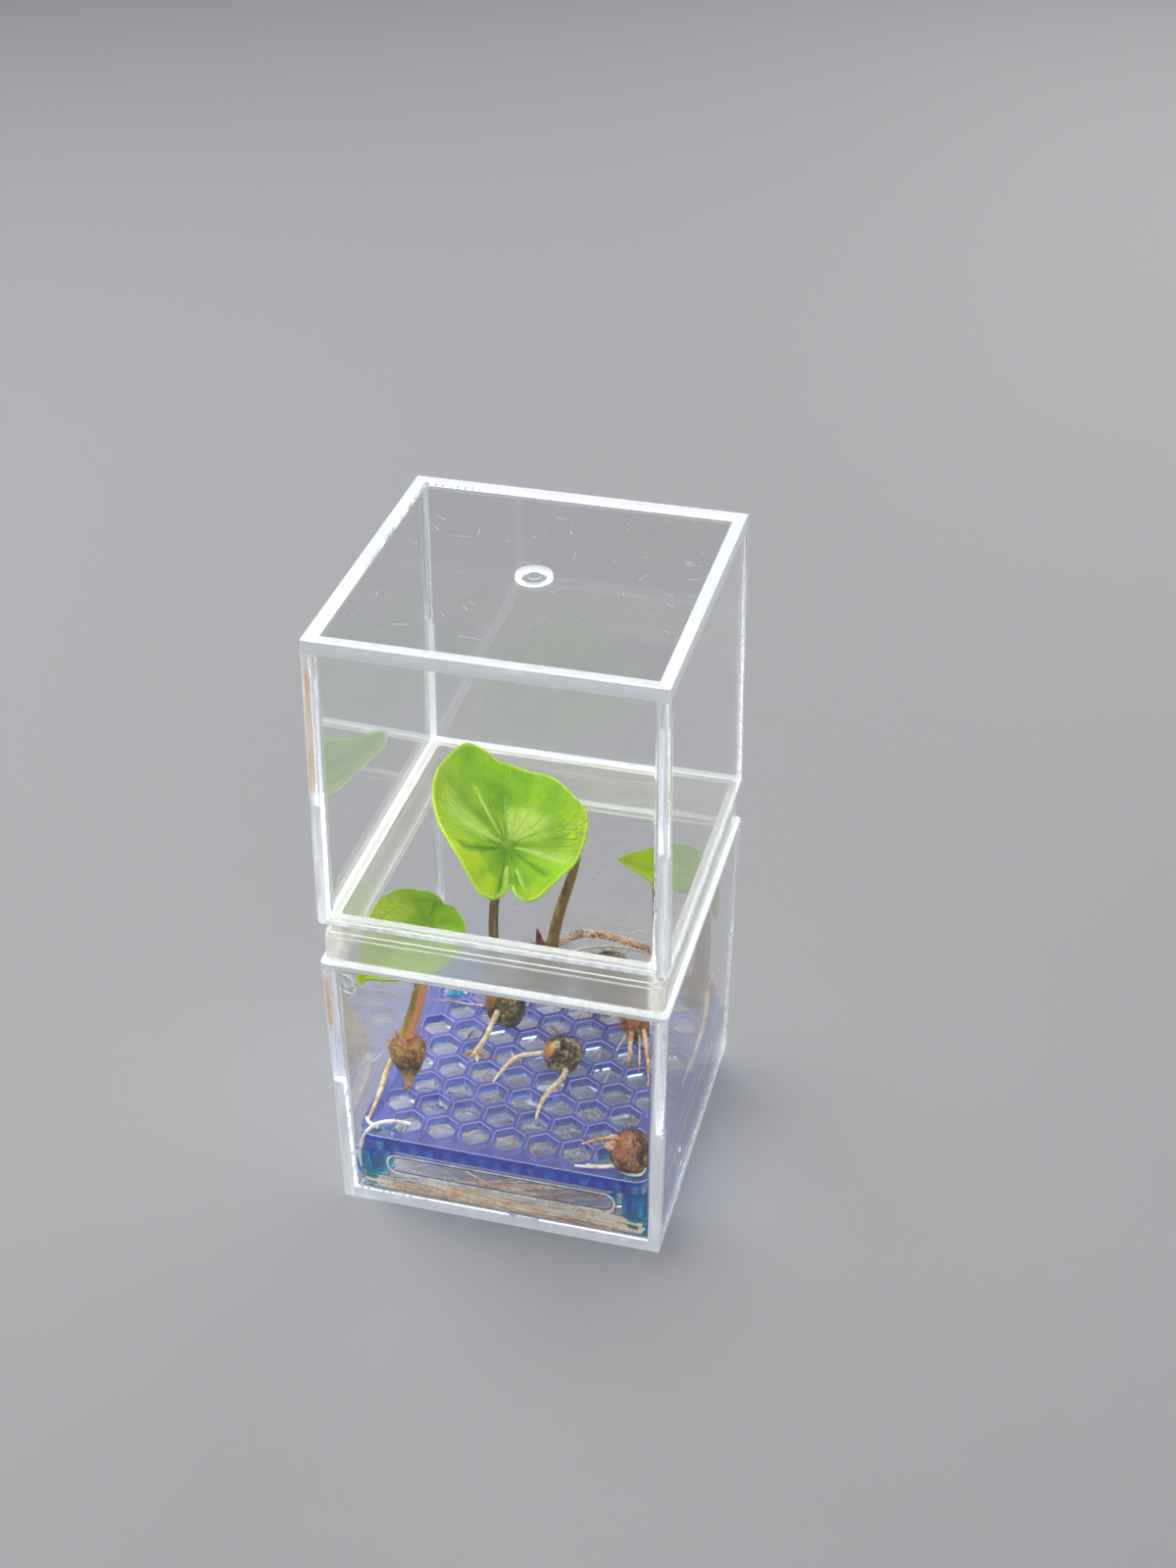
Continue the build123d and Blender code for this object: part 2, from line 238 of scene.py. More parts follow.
def noisePattern(tree, vector, scale, detail=3.0, distortion=0.0):
    inputs = {"Vector": vector, "Scale": scale, "Detail": detail, "Distortion": distortion}
    return addNode(tree, "ShaderNodeTexNoise", inputs).outputs["Fac"]


def readAttribute(tree, name, output="Fac"):
    return addNode(tree, "ShaderNodeAttribute", attribute_name=name).outputs[output]


def addBump(tree, height, distance, strength=1.0):
    bump = addNode(tree, "ShaderNodeBump", {"Height": height, "Distance": distance, "Strength": strength})
    dress(tree, {"Normal": bump.outputs["Normal"]})


def letLampsThrough(tree, tint):
    path = addNode(tree, "ShaderNodeLightPath")
    solid = tree.nodes["Principled BSDF"]
    clear = addNode(tree, "ShaderNodeBsdfTransparent", {"Color": tint})
    mix = addNode(tree, "ShaderNodeMixShader", {
        "Fac": path.outputs["Is Shadow Ray"], 1: solid.outputs["BSDF"], 2: clear.outputs["BSDF"]})
    feed(tree, tree.nodes["Material Output"].inputs["Surface"], mix.outputs["Shader"])


clearPlasticLook = {
    "colour": (0.992, 0.997, 0.998), "whiteAndReflection": (0.86, 0.88, 0.92), "amberRefraction": (0.96, 0.60, 0.32),
    "paintedGlow": 0.16,  # painted glow: the white parts give off light as if cut edges gathered it, so they are a little brighter than white paint
    "gloss": 0.20, "roughness": 0.008, "whiteRoughness": 0.38, "ior": 1.49, "lampTint": (0.975, 0.982, 0.984),
    "endBand": 2.0 * mm,  # how far the white of the closed end's edge reaches up the walls
    "edgeChange": 22 * mm,  # where the upright edges turn from white to clear, from the lower end of each box
    "ragged": 3 * mm, "rimLine": 0.8 * mm,
    "stripePlace": 0.8 * mm, "stripeHalf": 0.42 * mm, "stripeFront": -21 * mm,
    "amberShare": 0.8, "amberFade": 2 * mm,
    "gateRing": (1.9, 2.6), "gateShare": 0.85,  # the white ring round the moulding mark, in mm
}


def wallsHere(tree, coordinate, half):
    outwards = calculate(tree, "SUBTRACT", calculate(tree, "ABSOLUTE", coordinate), half)
    return mapRange(tree, outwards, (-wall - 0.02) * mm, (-wall + 0.10) * mm)


def makeClearPlastic(name, closedEnd, towardsRim, whiteBelow, amberFrom, amberTo):
    look, height = clearPlasticLook, boxHeight * mm
    material, tree = newMaterial(name)
    place = objectPlace(tree)
    x, y, z = splitPlace(tree)
    along = product(tree, calculate(tree, "SUBTRACT", z, closedEnd), towardsRim)
    half = calculate(tree, "MULTIPLY_ADD", along, boxLean, boxHalf * mm)

    # Painted reflection: white along the cut edges for the bright light reflected inside them. The level ones
    # are at both ends, and the upright ones along one part of each box
    sideways, lengthways = wallsHere(tree, x, half), wallsHere(tree, y, half)
    atEnd = mapRange(tree, along, look["endBand"] + 0.05 * mm, look["endBand"] - 0.05 * mm)
    atRim = mapRange(tree, along, height - look["rimLine"], height - 0.8 * look["rimLine"])
    levelEdge = product(tree, largest(tree, sideways, lengthways), largest(tree, atEnd, atRim))
    ragged = product(tree, noisePattern(tree, place, 700, 2), look["ragged"])
    change = look["edgeChange"] if whiteBelow else height - look["edgeChange"]
    whiteUp = mapRange(tree, calculate(tree, "SUBTRACT", along, ragged), change - 0.2 * mm, change + 0.2 * mm)
    if whiteBelow:
        whiteUp = calculate(tree, "SUBTRACT", 1.0, whiteUp)
    longLines = noisePattern(tree, objectPlace(tree, (1, 1, 0.02)), 1500, 2)
    longLines = mapRange(tree, longLines, 0.46, 0.60, 0.04, 0.9)
    uprightEdge = product(tree, sideways, lengthways, largest(tree, whiteUp, longLines))

    # Painted refracted light: an amber stripe in the front left edge for the orange seen through it
    fade, front = look["amberFade"], look["stripeFront"]
    stripeMiddle = calculate(tree, "SUBTRACT", look["stripePlace"], half)
    stripe = calculate(tree, "COMPARE", x, stripeMiddle, look["stripeHalf"])
    amberRefraction = product(tree, mapRange(tree, along, amberFrom, amberFrom + fade),
                    mapRange(tree, along, amberTo, amberTo - fade),
                    stripe, mapRange(tree, y, front + mm, front))

    # The ring round the moulding mark in the middle of the closed end
    inside, outside = look["gateRing"]
    radius = calculate(tree, "SQRT", calculate(tree, "ADD", product(tree, x, x), product(tree, y, y)))
    gate = product(tree, mapRange(tree, radius, (inside - 0.1) * mm, inside * mm),
                   mapRange(tree, radius, (outside + 0.1) * mm, outside * mm), atEnd, look["gateShare"])

    edge = largest(tree, levelEdge, uprightEdge, product(tree, amberRefraction, look["amberShare"]), gate)
    slant = {"Vector": place, "Rotation": (0.75, 0.75, 0), "Scale": (1, 1, 0.10)}
    slanted = addNode(tree, "ShaderNodeMapping", slant)
    hatch = mapRange(tree, noisePattern(tree, slanted.outputs[0], 1300, 4, 0.4), 0.38, 0.60, 0.68, 1.0)
    clouds = mapRange(tree, noisePattern(tree, place, 160, 2), 0.35, 0.6, 0.88, 1.0)
    whiteAndReflection = product(tree, edge, hatch, clouds)
    coat = mixColours(tree, amberRefraction, look["whiteAndReflection"], look["amberRefraction"])
    dress(tree, {
        "Base Color": mixColours(tree, whiteAndReflection, look["colour"], coat),
        # Painted glow: the white parts give off light though they are no lamp
        "Emission Color": mixColours(tree, whiteAndReflection, (0, 0, 0), coat),
        "Emission Strength": look["paintedGlow"],
        "Transmission Weight": calculate(tree, "SUBTRACT", 1.0, whiteAndReflection),
        "Roughness": mapRange(tree, whiteAndReflection, 0.0, 0.5, look["roughness"], look["whiteRoughness"]),
        "IOR": look["ior"],
        "Specular IOR Level": look["gloss"],
    })
    letLampsThrough(tree, look["lampTint"])
    return material


waterLook = {
    "colour": (0.975, 0.985, 0.98), "bright": (0.99, 0.99, 0.99), "lampTint": (0.98, 0.985, 0.98),
    "ior": 1.33,
}


def makeWater():
    look = waterLook
    material, tree = newMaterial("water")
    ripples = noisePattern(tree, objectPlace(tree), 500, 2)
    colour = colourRamp(tree, ripples, (0.3, look["colour"]), (0.7, look["bright"]))
    dress(tree, {"Base Color": colour, "Roughness": 0, "IOR": look["ior"], "Transmission Weight": 1})
    letLampsThrough(tree, look["lampTint"])
    return material


ringLook = {
    "milky": (0.97, 0.97, 0.93), "cloudy": (0.90, 0.91, 0.86), "lampTint": (0.72, 0.72, 0.69),
    "roughness": 0.16, "throughLight": 0.72, "ior": 1.41, "cloudScale": 230.0, "bump": 0.03 * mm,
}


def makeMilkyRubber():
    look = ringLook
    material, tree = newMaterial("milkyRubber")
    clouds = noisePattern(tree, objectPlace(tree, (1, 1, 4)), look["cloudScale"], 4)
    dress(tree, {
        "Base Color": colourRamp(tree, clouds, (0.35, look["cloudy"]), (0.65, look["milky"])),
        "Roughness": look["roughness"], "IOR": look["ior"], "Transmission Weight": look["throughLight"],
    })
    addBump(tree, noisePattern(tree, objectPlace(tree, (1, 1, 6)), 500, 3), look["bump"])
    letLampsThrough(tree, look["lampTint"])
    return material


trayLook = {
    "leg": (0.0, 0.55, 0.62), "legTop": (0.0, 0.30, 0.66), "edge": (0.04, 0.06, 0.60),
    "cyanGlint": (0.10, 0.52, 0.90), "holeLowHighlight": (0.55, 0.82, 0.97), "holeHigh": (0.30, 0.33, 0.90),
    "plate": (0.52, 0.50, 0.95), "holeRimHighlight": (0.80, 0.79, 0.98), "lampTint": (0.62, 0.66, 0.88),
    "roughness": 0.05, "wornRoughness": 0.16, "throughLight": 0.88, "rimThroughLight": 0.30, "ior": 1.49,
    "bump": 0.03 * mm,
}


def makeBluePlastic():
    look = trayLook
    material, tree = newMaterial("bluePlastic")
    x, y, z = splitPlace(tree)

    # Legs and rim: cyan below as a painted tint of the light seen through the legs, violet above, with
    # painted cyan glints where light comes through between the holes
    height = mapRange(tree, z, floorTop, trayTop)
    outside = colourRamp(tree, height, (0.0, look["leg"]), (0.60, look["legTop"]), (0.76, look["edge"]))
    wave = calculate(tree, "SINE", product(tree, calculate(tree, "ADD", x, y), 4 * math.pi / cellPitch / mm))
    patches = product(tree, mapRange(tree, wave, 0.1, 0.5),
                      mapRange(tree, z, plateBottom, plateBottom + 0.3 * mm),
                      mapRange(tree, z, trayTop - 0.9 * mm, trayTop - 1.3 * mm, 0, 0.7))
    outside = mixColours(tree, patches, outside, look["cyanGlint"])

    # The walls of the holes, cyan-white low down as a painted highlight along the water, and the plate's top
    # with a painted pale highlight rim round each hole
    depth = mapRange(tree, z, plateBottom, trayTop)
    holes = colourRamp(tree, depth, (0.30, look["holeLowHighlight"]), (0.62, look["holeHigh"]))
    farOut = largest(tree, calculate(tree, "ABSOLUTE", x), calculate(tree, "ABSOLUTE", y))
    inPlate = product(tree, mapRange(tree, farOut, trayHalf - 0.4 * mm, trayHalf - 0.5 * mm),
                      mapRange(tree, z, plateBottom + 0.05 * mm, plateBottom + 0.15 * mm))
    onHighlightRim = mapRange(tree, z, trayTop - 0.17 * mm, trayTop - 0.13 * mm)
    onTop = mapRange(tree, z, trayTop - 0.008 * mm, trayTop - 0.004 * mm)
    colour = mixColours(tree, onHighlightRim, mixColours(tree, inPlate, outside, holes), look["holeRimHighlight"])
    rimOnly = product(tree, onHighlightRim, calculate(tree, "SUBTRACT", 1.0, onTop))
    throughLight = mapRange(tree, rimOnly, 0.0, 1.0, look["throughLight"], look["rimThroughLight"])
    wear = noisePattern(tree, objectPlace(tree), 1400, 4)
    dress(tree, {
        "Base Color": mixColours(tree, onTop, colour, look["plate"]),
        "Roughness": mapRange(tree, wear, 0.4, 0.75, look["roughness"], look["wornRoughness"]),
        "IOR": look["ior"],
        "Transmission Weight": throughLight,
    })
    addBump(tree, noisePattern(tree, objectPlace(tree), 420, 2), look["bump"])
    letLampsThrough(tree, look["lampTint"])
    return material


def makeLeafSkin(name, look):
    material, tree = newMaterial(name)
    place = objectPlace(tree)
    grain = noisePattern(tree, place, 1500, 3)
    blotches = noisePattern(tree, place, 900, 3, 0.5)
    spokes = stretched(tree, readAttribute(tree, "spoke", "Vector"), (13, 13, 2))
    streaks = noisePattern(tree, spokes, 4.5, 3, 0.3)
    ridges = product(tree, mapRange(tree, streaks, 0.50, 0.64), readAttribute(tree, "ridge"))
    # Painted highlight: pale bands where the blade faces the light, and yellow-green highlight patches
    highlightShare = product(tree, readAttribute(tree, "pale"), mapRange(tree, streaks, 0.35, 0.6, 0.62, 1),
                        mapRange(tree, blotches, 0.36, 0.6, 0.6, 1))
    green = colourRamp(tree, noisePattern(tree, place, 170, 3), (0.34, look["shaded"]), (0.60, look["green"]))
    # Painted shade: darker green along the folds
    for share, tone in (
            (readAttribute(tree, "yellowHighlight"), "yellowHighlight"), (readAttribute(tree, "deep"), "deep"),
            (product(tree, ridges, 0.85), "pale"), (highlightShare, "pale"),
            (readAttribute(tree, "vein"), "vein"), (readAttribute(tree, "rim"), "rimColour")):
        green = mixColours(tree, share, green, look[tone])
    dress(tree, {
        "Base Color": green, "Roughness": mapRange(tree, grain, 0.3, 0.7, 0.32, 0.5),
        "Specular IOR Level": 0.06,
        "Subsurface Weight": 0.1, "Subsurface Radius": (0.4, 0.9, 0.05), "Subsurface Scale": 0.5 * mm,
    })
    height = calculate(tree, "MULTIPLY_ADD", grain, 0.22, streaks)
    addBump(tree, calculate(tree, "MULTIPLY_ADD", ridges, 1.3, height), 0.22 * mm)
    return material


def makeSkin(name, look):
    material, tree = newMaterial(name)
    place, scale = objectPlace(tree, look.get("stretch", (1, 1, 1))), look.get("patchScale", 420)
    patches = noisePattern(tree, place, scale, 4, 0.6)
    grain = noisePattern(tree, place, scale * 5, 4, 0.3)
    mottle = calculate(tree, "MULTIPLY_ADD", grain, 0.45, product(tree, patches, 0.62))
    colour = colourRamp(tree, mottle, *zip((0.44, 0.53, 0.63), look["tones"]))
    if "flank" in look:
        colour = mixColours(tree, readAttribute(tree, "flank"), colour, look["flank"])
    if "litPatch" in look:
        # Painted shade: the lower part darkens towards the darkest tone, or takes the skin's own colour for
        # it
        shade = product(tree, readAttribute(tree, "low"), 0.7)
        colour = mixColours(tree, shade, colour, look.get("low", look["tones"][0]))
        # Painted light: a lighter patch on the side facing the light
        litPatch = product(tree, readAttribute(tree, "litPatch"), mapRange(tree, grain, 0.3, 0.55, 0.35, 1))
        colour = mixColours(tree, litPatch, colour, look["litPatch"])
    smoothest, roughest = look.get("roughness", (0.40, 0.70))
    dress(tree, {
        "Base Color": colour, "Roughness": mapRange(tree, grain, 0.3, 0.7, smoothest, roughest),
        "Coat Weight": look.get("wet", 0.0), "Coat Roughness": 0.18, "Specular IOR Level": 0.25,
    })
    addBump(tree, mottle, look.get("bump", 0.4) * mm, 0.9)
    return material


# Each skin has three tones from dark to light. Where they aren't the usual ones it also has the scale of its
# patches, its bump in mm, its least and greatest roughness, and how wet it is
# A corm's skin also has the colour of its patch of painted light, and may have a colour for its lower part in
# place of painted shade
skinLooks = {
    "goldenCorm": {
        "tones": ((0.06, 0.022, 0.006), (0.28, 0.135, 0.028), (0.58, 0.37, 0.11)),
        "litPatch": (0.34, 0.09, 0.03), "low": (0.6, 0.4, 0.09), "patchScale": 330, "wet": 0.5,
        "roughness": (0.25, 0.5),
    },
    "oliveCorm": {
        "tones": ((0.014, 0.009, 0.003), (0.085, 0.055, 0.01), (0.44, 0.33, 0.1)), "litPatch": (0.4, 0.17, 0.03),
        "patchScale": 400, "wet": 0.5, "roughness": (0.22, 0.5),
    },
    "centreCorm": {
        "tones": ((0.016, 0.008, 0.003), (0.085, 0.052, 0.009), (0.46, 0.37, 0.15)),
        "litPatch": (0.78, 0.36, 0.07), "patchScale": 430, "wet": 0.8, "roughness": (0.16, 0.4),
    },
    "darkCorm": {
        "tones": ((0.018, 0.01, 0.005), (0.075, 0.04, 0.018), (0.28, 0.16, 0.07)), "litPatch": (0.3, 0.12, 0.05),
        "wet": 0.3,
    },
    "redCorm": {
        "tones": ((0.05, 0.016, 0.006), (0.22, 0.075, 0.028), (0.55, 0.24, 0.1)), "litPatch": (0.62, 0.28, 0.12),
        "patchScale": 360, "wet": 0.2,
    },
    "tanCorm": {
        "tones": ((0.022, 0.009, 0.004), (0.11, 0.045, 0.018), (0.46, 0.24, 0.11)),
        "litPatch": (0.36, 0.13, 0.05), "patchScale": 340, "wet": 0.5, "roughness": (0.26, 0.55),
    },
    "salmonBud": {"tones": ((0.36, 0.13, 0.06), (0.66, 0.31, 0.17), (0.86, 0.55, 0.36))},
    "redSheath": {
        "tones": ((0.13, 0.025, 0.02), (0.29, 0.06, 0.05), (0.5, 0.2, 0.15)), "stretch": (1, 1, 0.2),
    },
    "twoToneStalk": {
        "tones": ((0.18, 0.12, 0.014), (0.36, 0.27, 0.035), (0.5, 0.4, 0.07)), "flank": (0.86, 0.36, 0.15),
        "stretch": (1, 1, 0.3), "bump": 0.08, "roughness": (0.3, 0.5),
    },
    "brownStalk": {
        "tones": ((0.07, 0.045, 0.014), (0.17, 0.12, 0.038), (0.33, 0.24, 0.08)), "flank": (0.24, 0.14, 0.05),
        "stretch": (1, 1, 0.25), "bump": 0.1, "roughness": (0.32, 0.55),
    },
    "oliveStalk": {
        "tones": ((0.03, 0.018, 0.005), (0.27, 0.19, 0.03), (0.55, 0.43, 0.09)), "flank": (0.3, 0.17, 0.03),
        "patchScale": 500, "stretch": (1, 1, 0.35), "bump": 0.1, "roughness": (0.32, 0.55),
    },
    "creamRoot": {
        "tones": ((0.46, 0.32, 0.16), (0.74, 0.58, 0.36), (0.9, 0.8, 0.6)), "bump": 0.08,
        "roughness": (0.4, 0.65),
    },
    "whiteRoot": {
        "tones": ((0.6, 0.53, 0.4), (0.8, 0.76, 0.66), (0.93, 0.92, 0.86)), "bump": 0.06,
        "roughness": (0.35, 0.6),
    },
    "salmonRoot": {"tones": ((0.34, 0.12, 0.06), (0.64, 0.29, 0.17), (0.88, 0.6, 0.44)), "patchScale": 520},
    "strawRoot": {
        "tones": ((0.7, 0.44, 0.25), (0.96, 0.74, 0.48), (1, 0.9, 0.7)), "patchScale": 300, "bump": 0.06,
    },
    "orangeRoot": {
        "tones": ((0.42, 0.18, 0.07), (0.72, 0.38, 0.18), (0.88, 0.6, 0.36)), "patchScale": 300, "bump": 0.06,
    },
    "darkFibre": {"tones": ((0.03, 0.018, 0.01), (0.1, 0.055, 0.025), (0.26, 0.15, 0.07)), "patchScale": 500},
    "orangeFibre": {"tones": ((0.24, 0.09, 0.03), (0.48, 0.2, 0.08), (0.72, 0.42, 0.2)), "patchScale": 500},
    "paleFibre": {"tones": ((0.55, 0.47, 0.34), (0.78, 0.72, 0.58), (0.93, 0.9, 0.8)), "patchScale": 500},
    # The water's painted highlight and painted shade lines
    "waterHighlight": {"tones": ((0.55, 0.57, 0.57), (0.8, 0.82, 0.82), (0.95, 0.96, 0.96)), "patchScale": 300},
    "waterShade": {"tones": ((0.1, 0.1, 0.09), (0.17, 0.17, 0.16), (0.3, 0.3, 0.28)), "patchScale": 300},
    "scuff": {"tones": ((0.8, 0.8, 0.8), (0.92, 0.92, 0.92), (0.98, 0.98, 0.98)), "patchScale": 900},
}
skins = {name: makeSkin(name, look) for name, look in skinLooks.items()}
lowerClear = makeClearPlastic(
    "lowerClearPlastic", closedEnd=0.0, towardsRim=1.0, whiteBelow=True, amberFrom=33 * mm, amberTo=44.5 * mm)
upperClear = makeClearPlastic(
    "upperClearPlastic", closedEnd=lidHigh.z, towardsRim=-1.0, whiteBelow=False,
    amberFrom=3 * mm, amberTo=25 * mm)
water = makeWater()
milkyRubber = makeMilkyRubber()
bluePlastic = makeBluePlastic()
print("materials made")


# Clear boxes, seal ring and tray: the CAD shapes with their sharp edges eased by so many mm. The boxes stay
# flat, and the ring and the tray are smooth up to an angle
hardLooks = {
    "lowerClearBox": {
        "node": "lower_box", "body": "base", "slot": "clear_plastic", "skin": lowerClear, "eased": 0.07,
    },
    "upperClearBox": {
        "node": "upper_box", "body": "lid", "slot": "clear_plastic", "skin": upperClear, "eased": 0.07,
    },
    "milkySealRing": {
        "node": "seal_ring", "body": "ring", "slot": "milky_rubber", "skin": milkyRubber, "eased": 0.12,
        "smooth": 40,
    },
    "blueHoneycombTray": {
        "node": "honeycomb_tray", "body": "tray", "slot": "blue_plastic", "skin": bluePlastic, "eased": 0.17,
        "smooth": 35,
    },
}


def makeHardPiece(name, look):
    piece = copyNode(look["node"], name)
    width, sharpest = look["eased"] * mm, math.radians(40)
    addModifier(piece, "BEVEL", width=width, segments=2, limit_method="ANGLE", angle_limit=sharpest)
    if "smooth" in look:
        pick(piece)
        bpy.ops.object.shade_smooth_by_angle(angle=math.radians(look["smooth"]))
        addModifier(piece, "WEIGHTED_NORMAL", keep_sharp=True, weight=80)
    smoothAngle = None if "smooth" in look else 0
    finishPiece(piece, look["body"], [look["skin"]], [look["node"]], smoothAngle)


for name, look in hardLooks.items():
    makeHardPiece(name, look)
print("clear boxes, ring and tray made")


def paint(obj, name, values):
    obj.data.attributes.new(name, "FLOAT", "POINT").data.foreach_set("value", values)


# Leaves: a round web of points from the stalk's end out to the rim, bent as the blade is and made thick
def smoothBetween(a, b, c, d, rest):
    squared, cubed = 2 * a - 5 * b + 4 * c - d, 3 * b - a - 3 * c + d
    return 0.5 * (2 * b + (c - a) * rest + squared * rest**2 + cubed * rest**3)


def alongLoop(points, turn):
    place = turn % 1 * len(points)
    near = (Vector(points[(int(place) + n) % len(points)]) for n in (-1, 0, 1, 2))
    return smoothBetween(*near, place % 1)


fanLook = {"startLength": 0.08, "endLength": 0.14, "steepShare": 0.3}


def fanShare(turnAt, share, count, fan):
    centre, width, start, end, strength, steepSide = fan
    off = (turnAt - centre + count / 2) % count - count / 2
    if off * steepSide > 0:
        width *= fanLook["steepShare"]
    rise = within((share - start) / fanLook["startLength"])
    fall = within((end - share) / fanLook["endLength"])
    return math.exp(-((off / width) ** 2)) * rise * fall * (3 - 2 * rise) * rise * strength
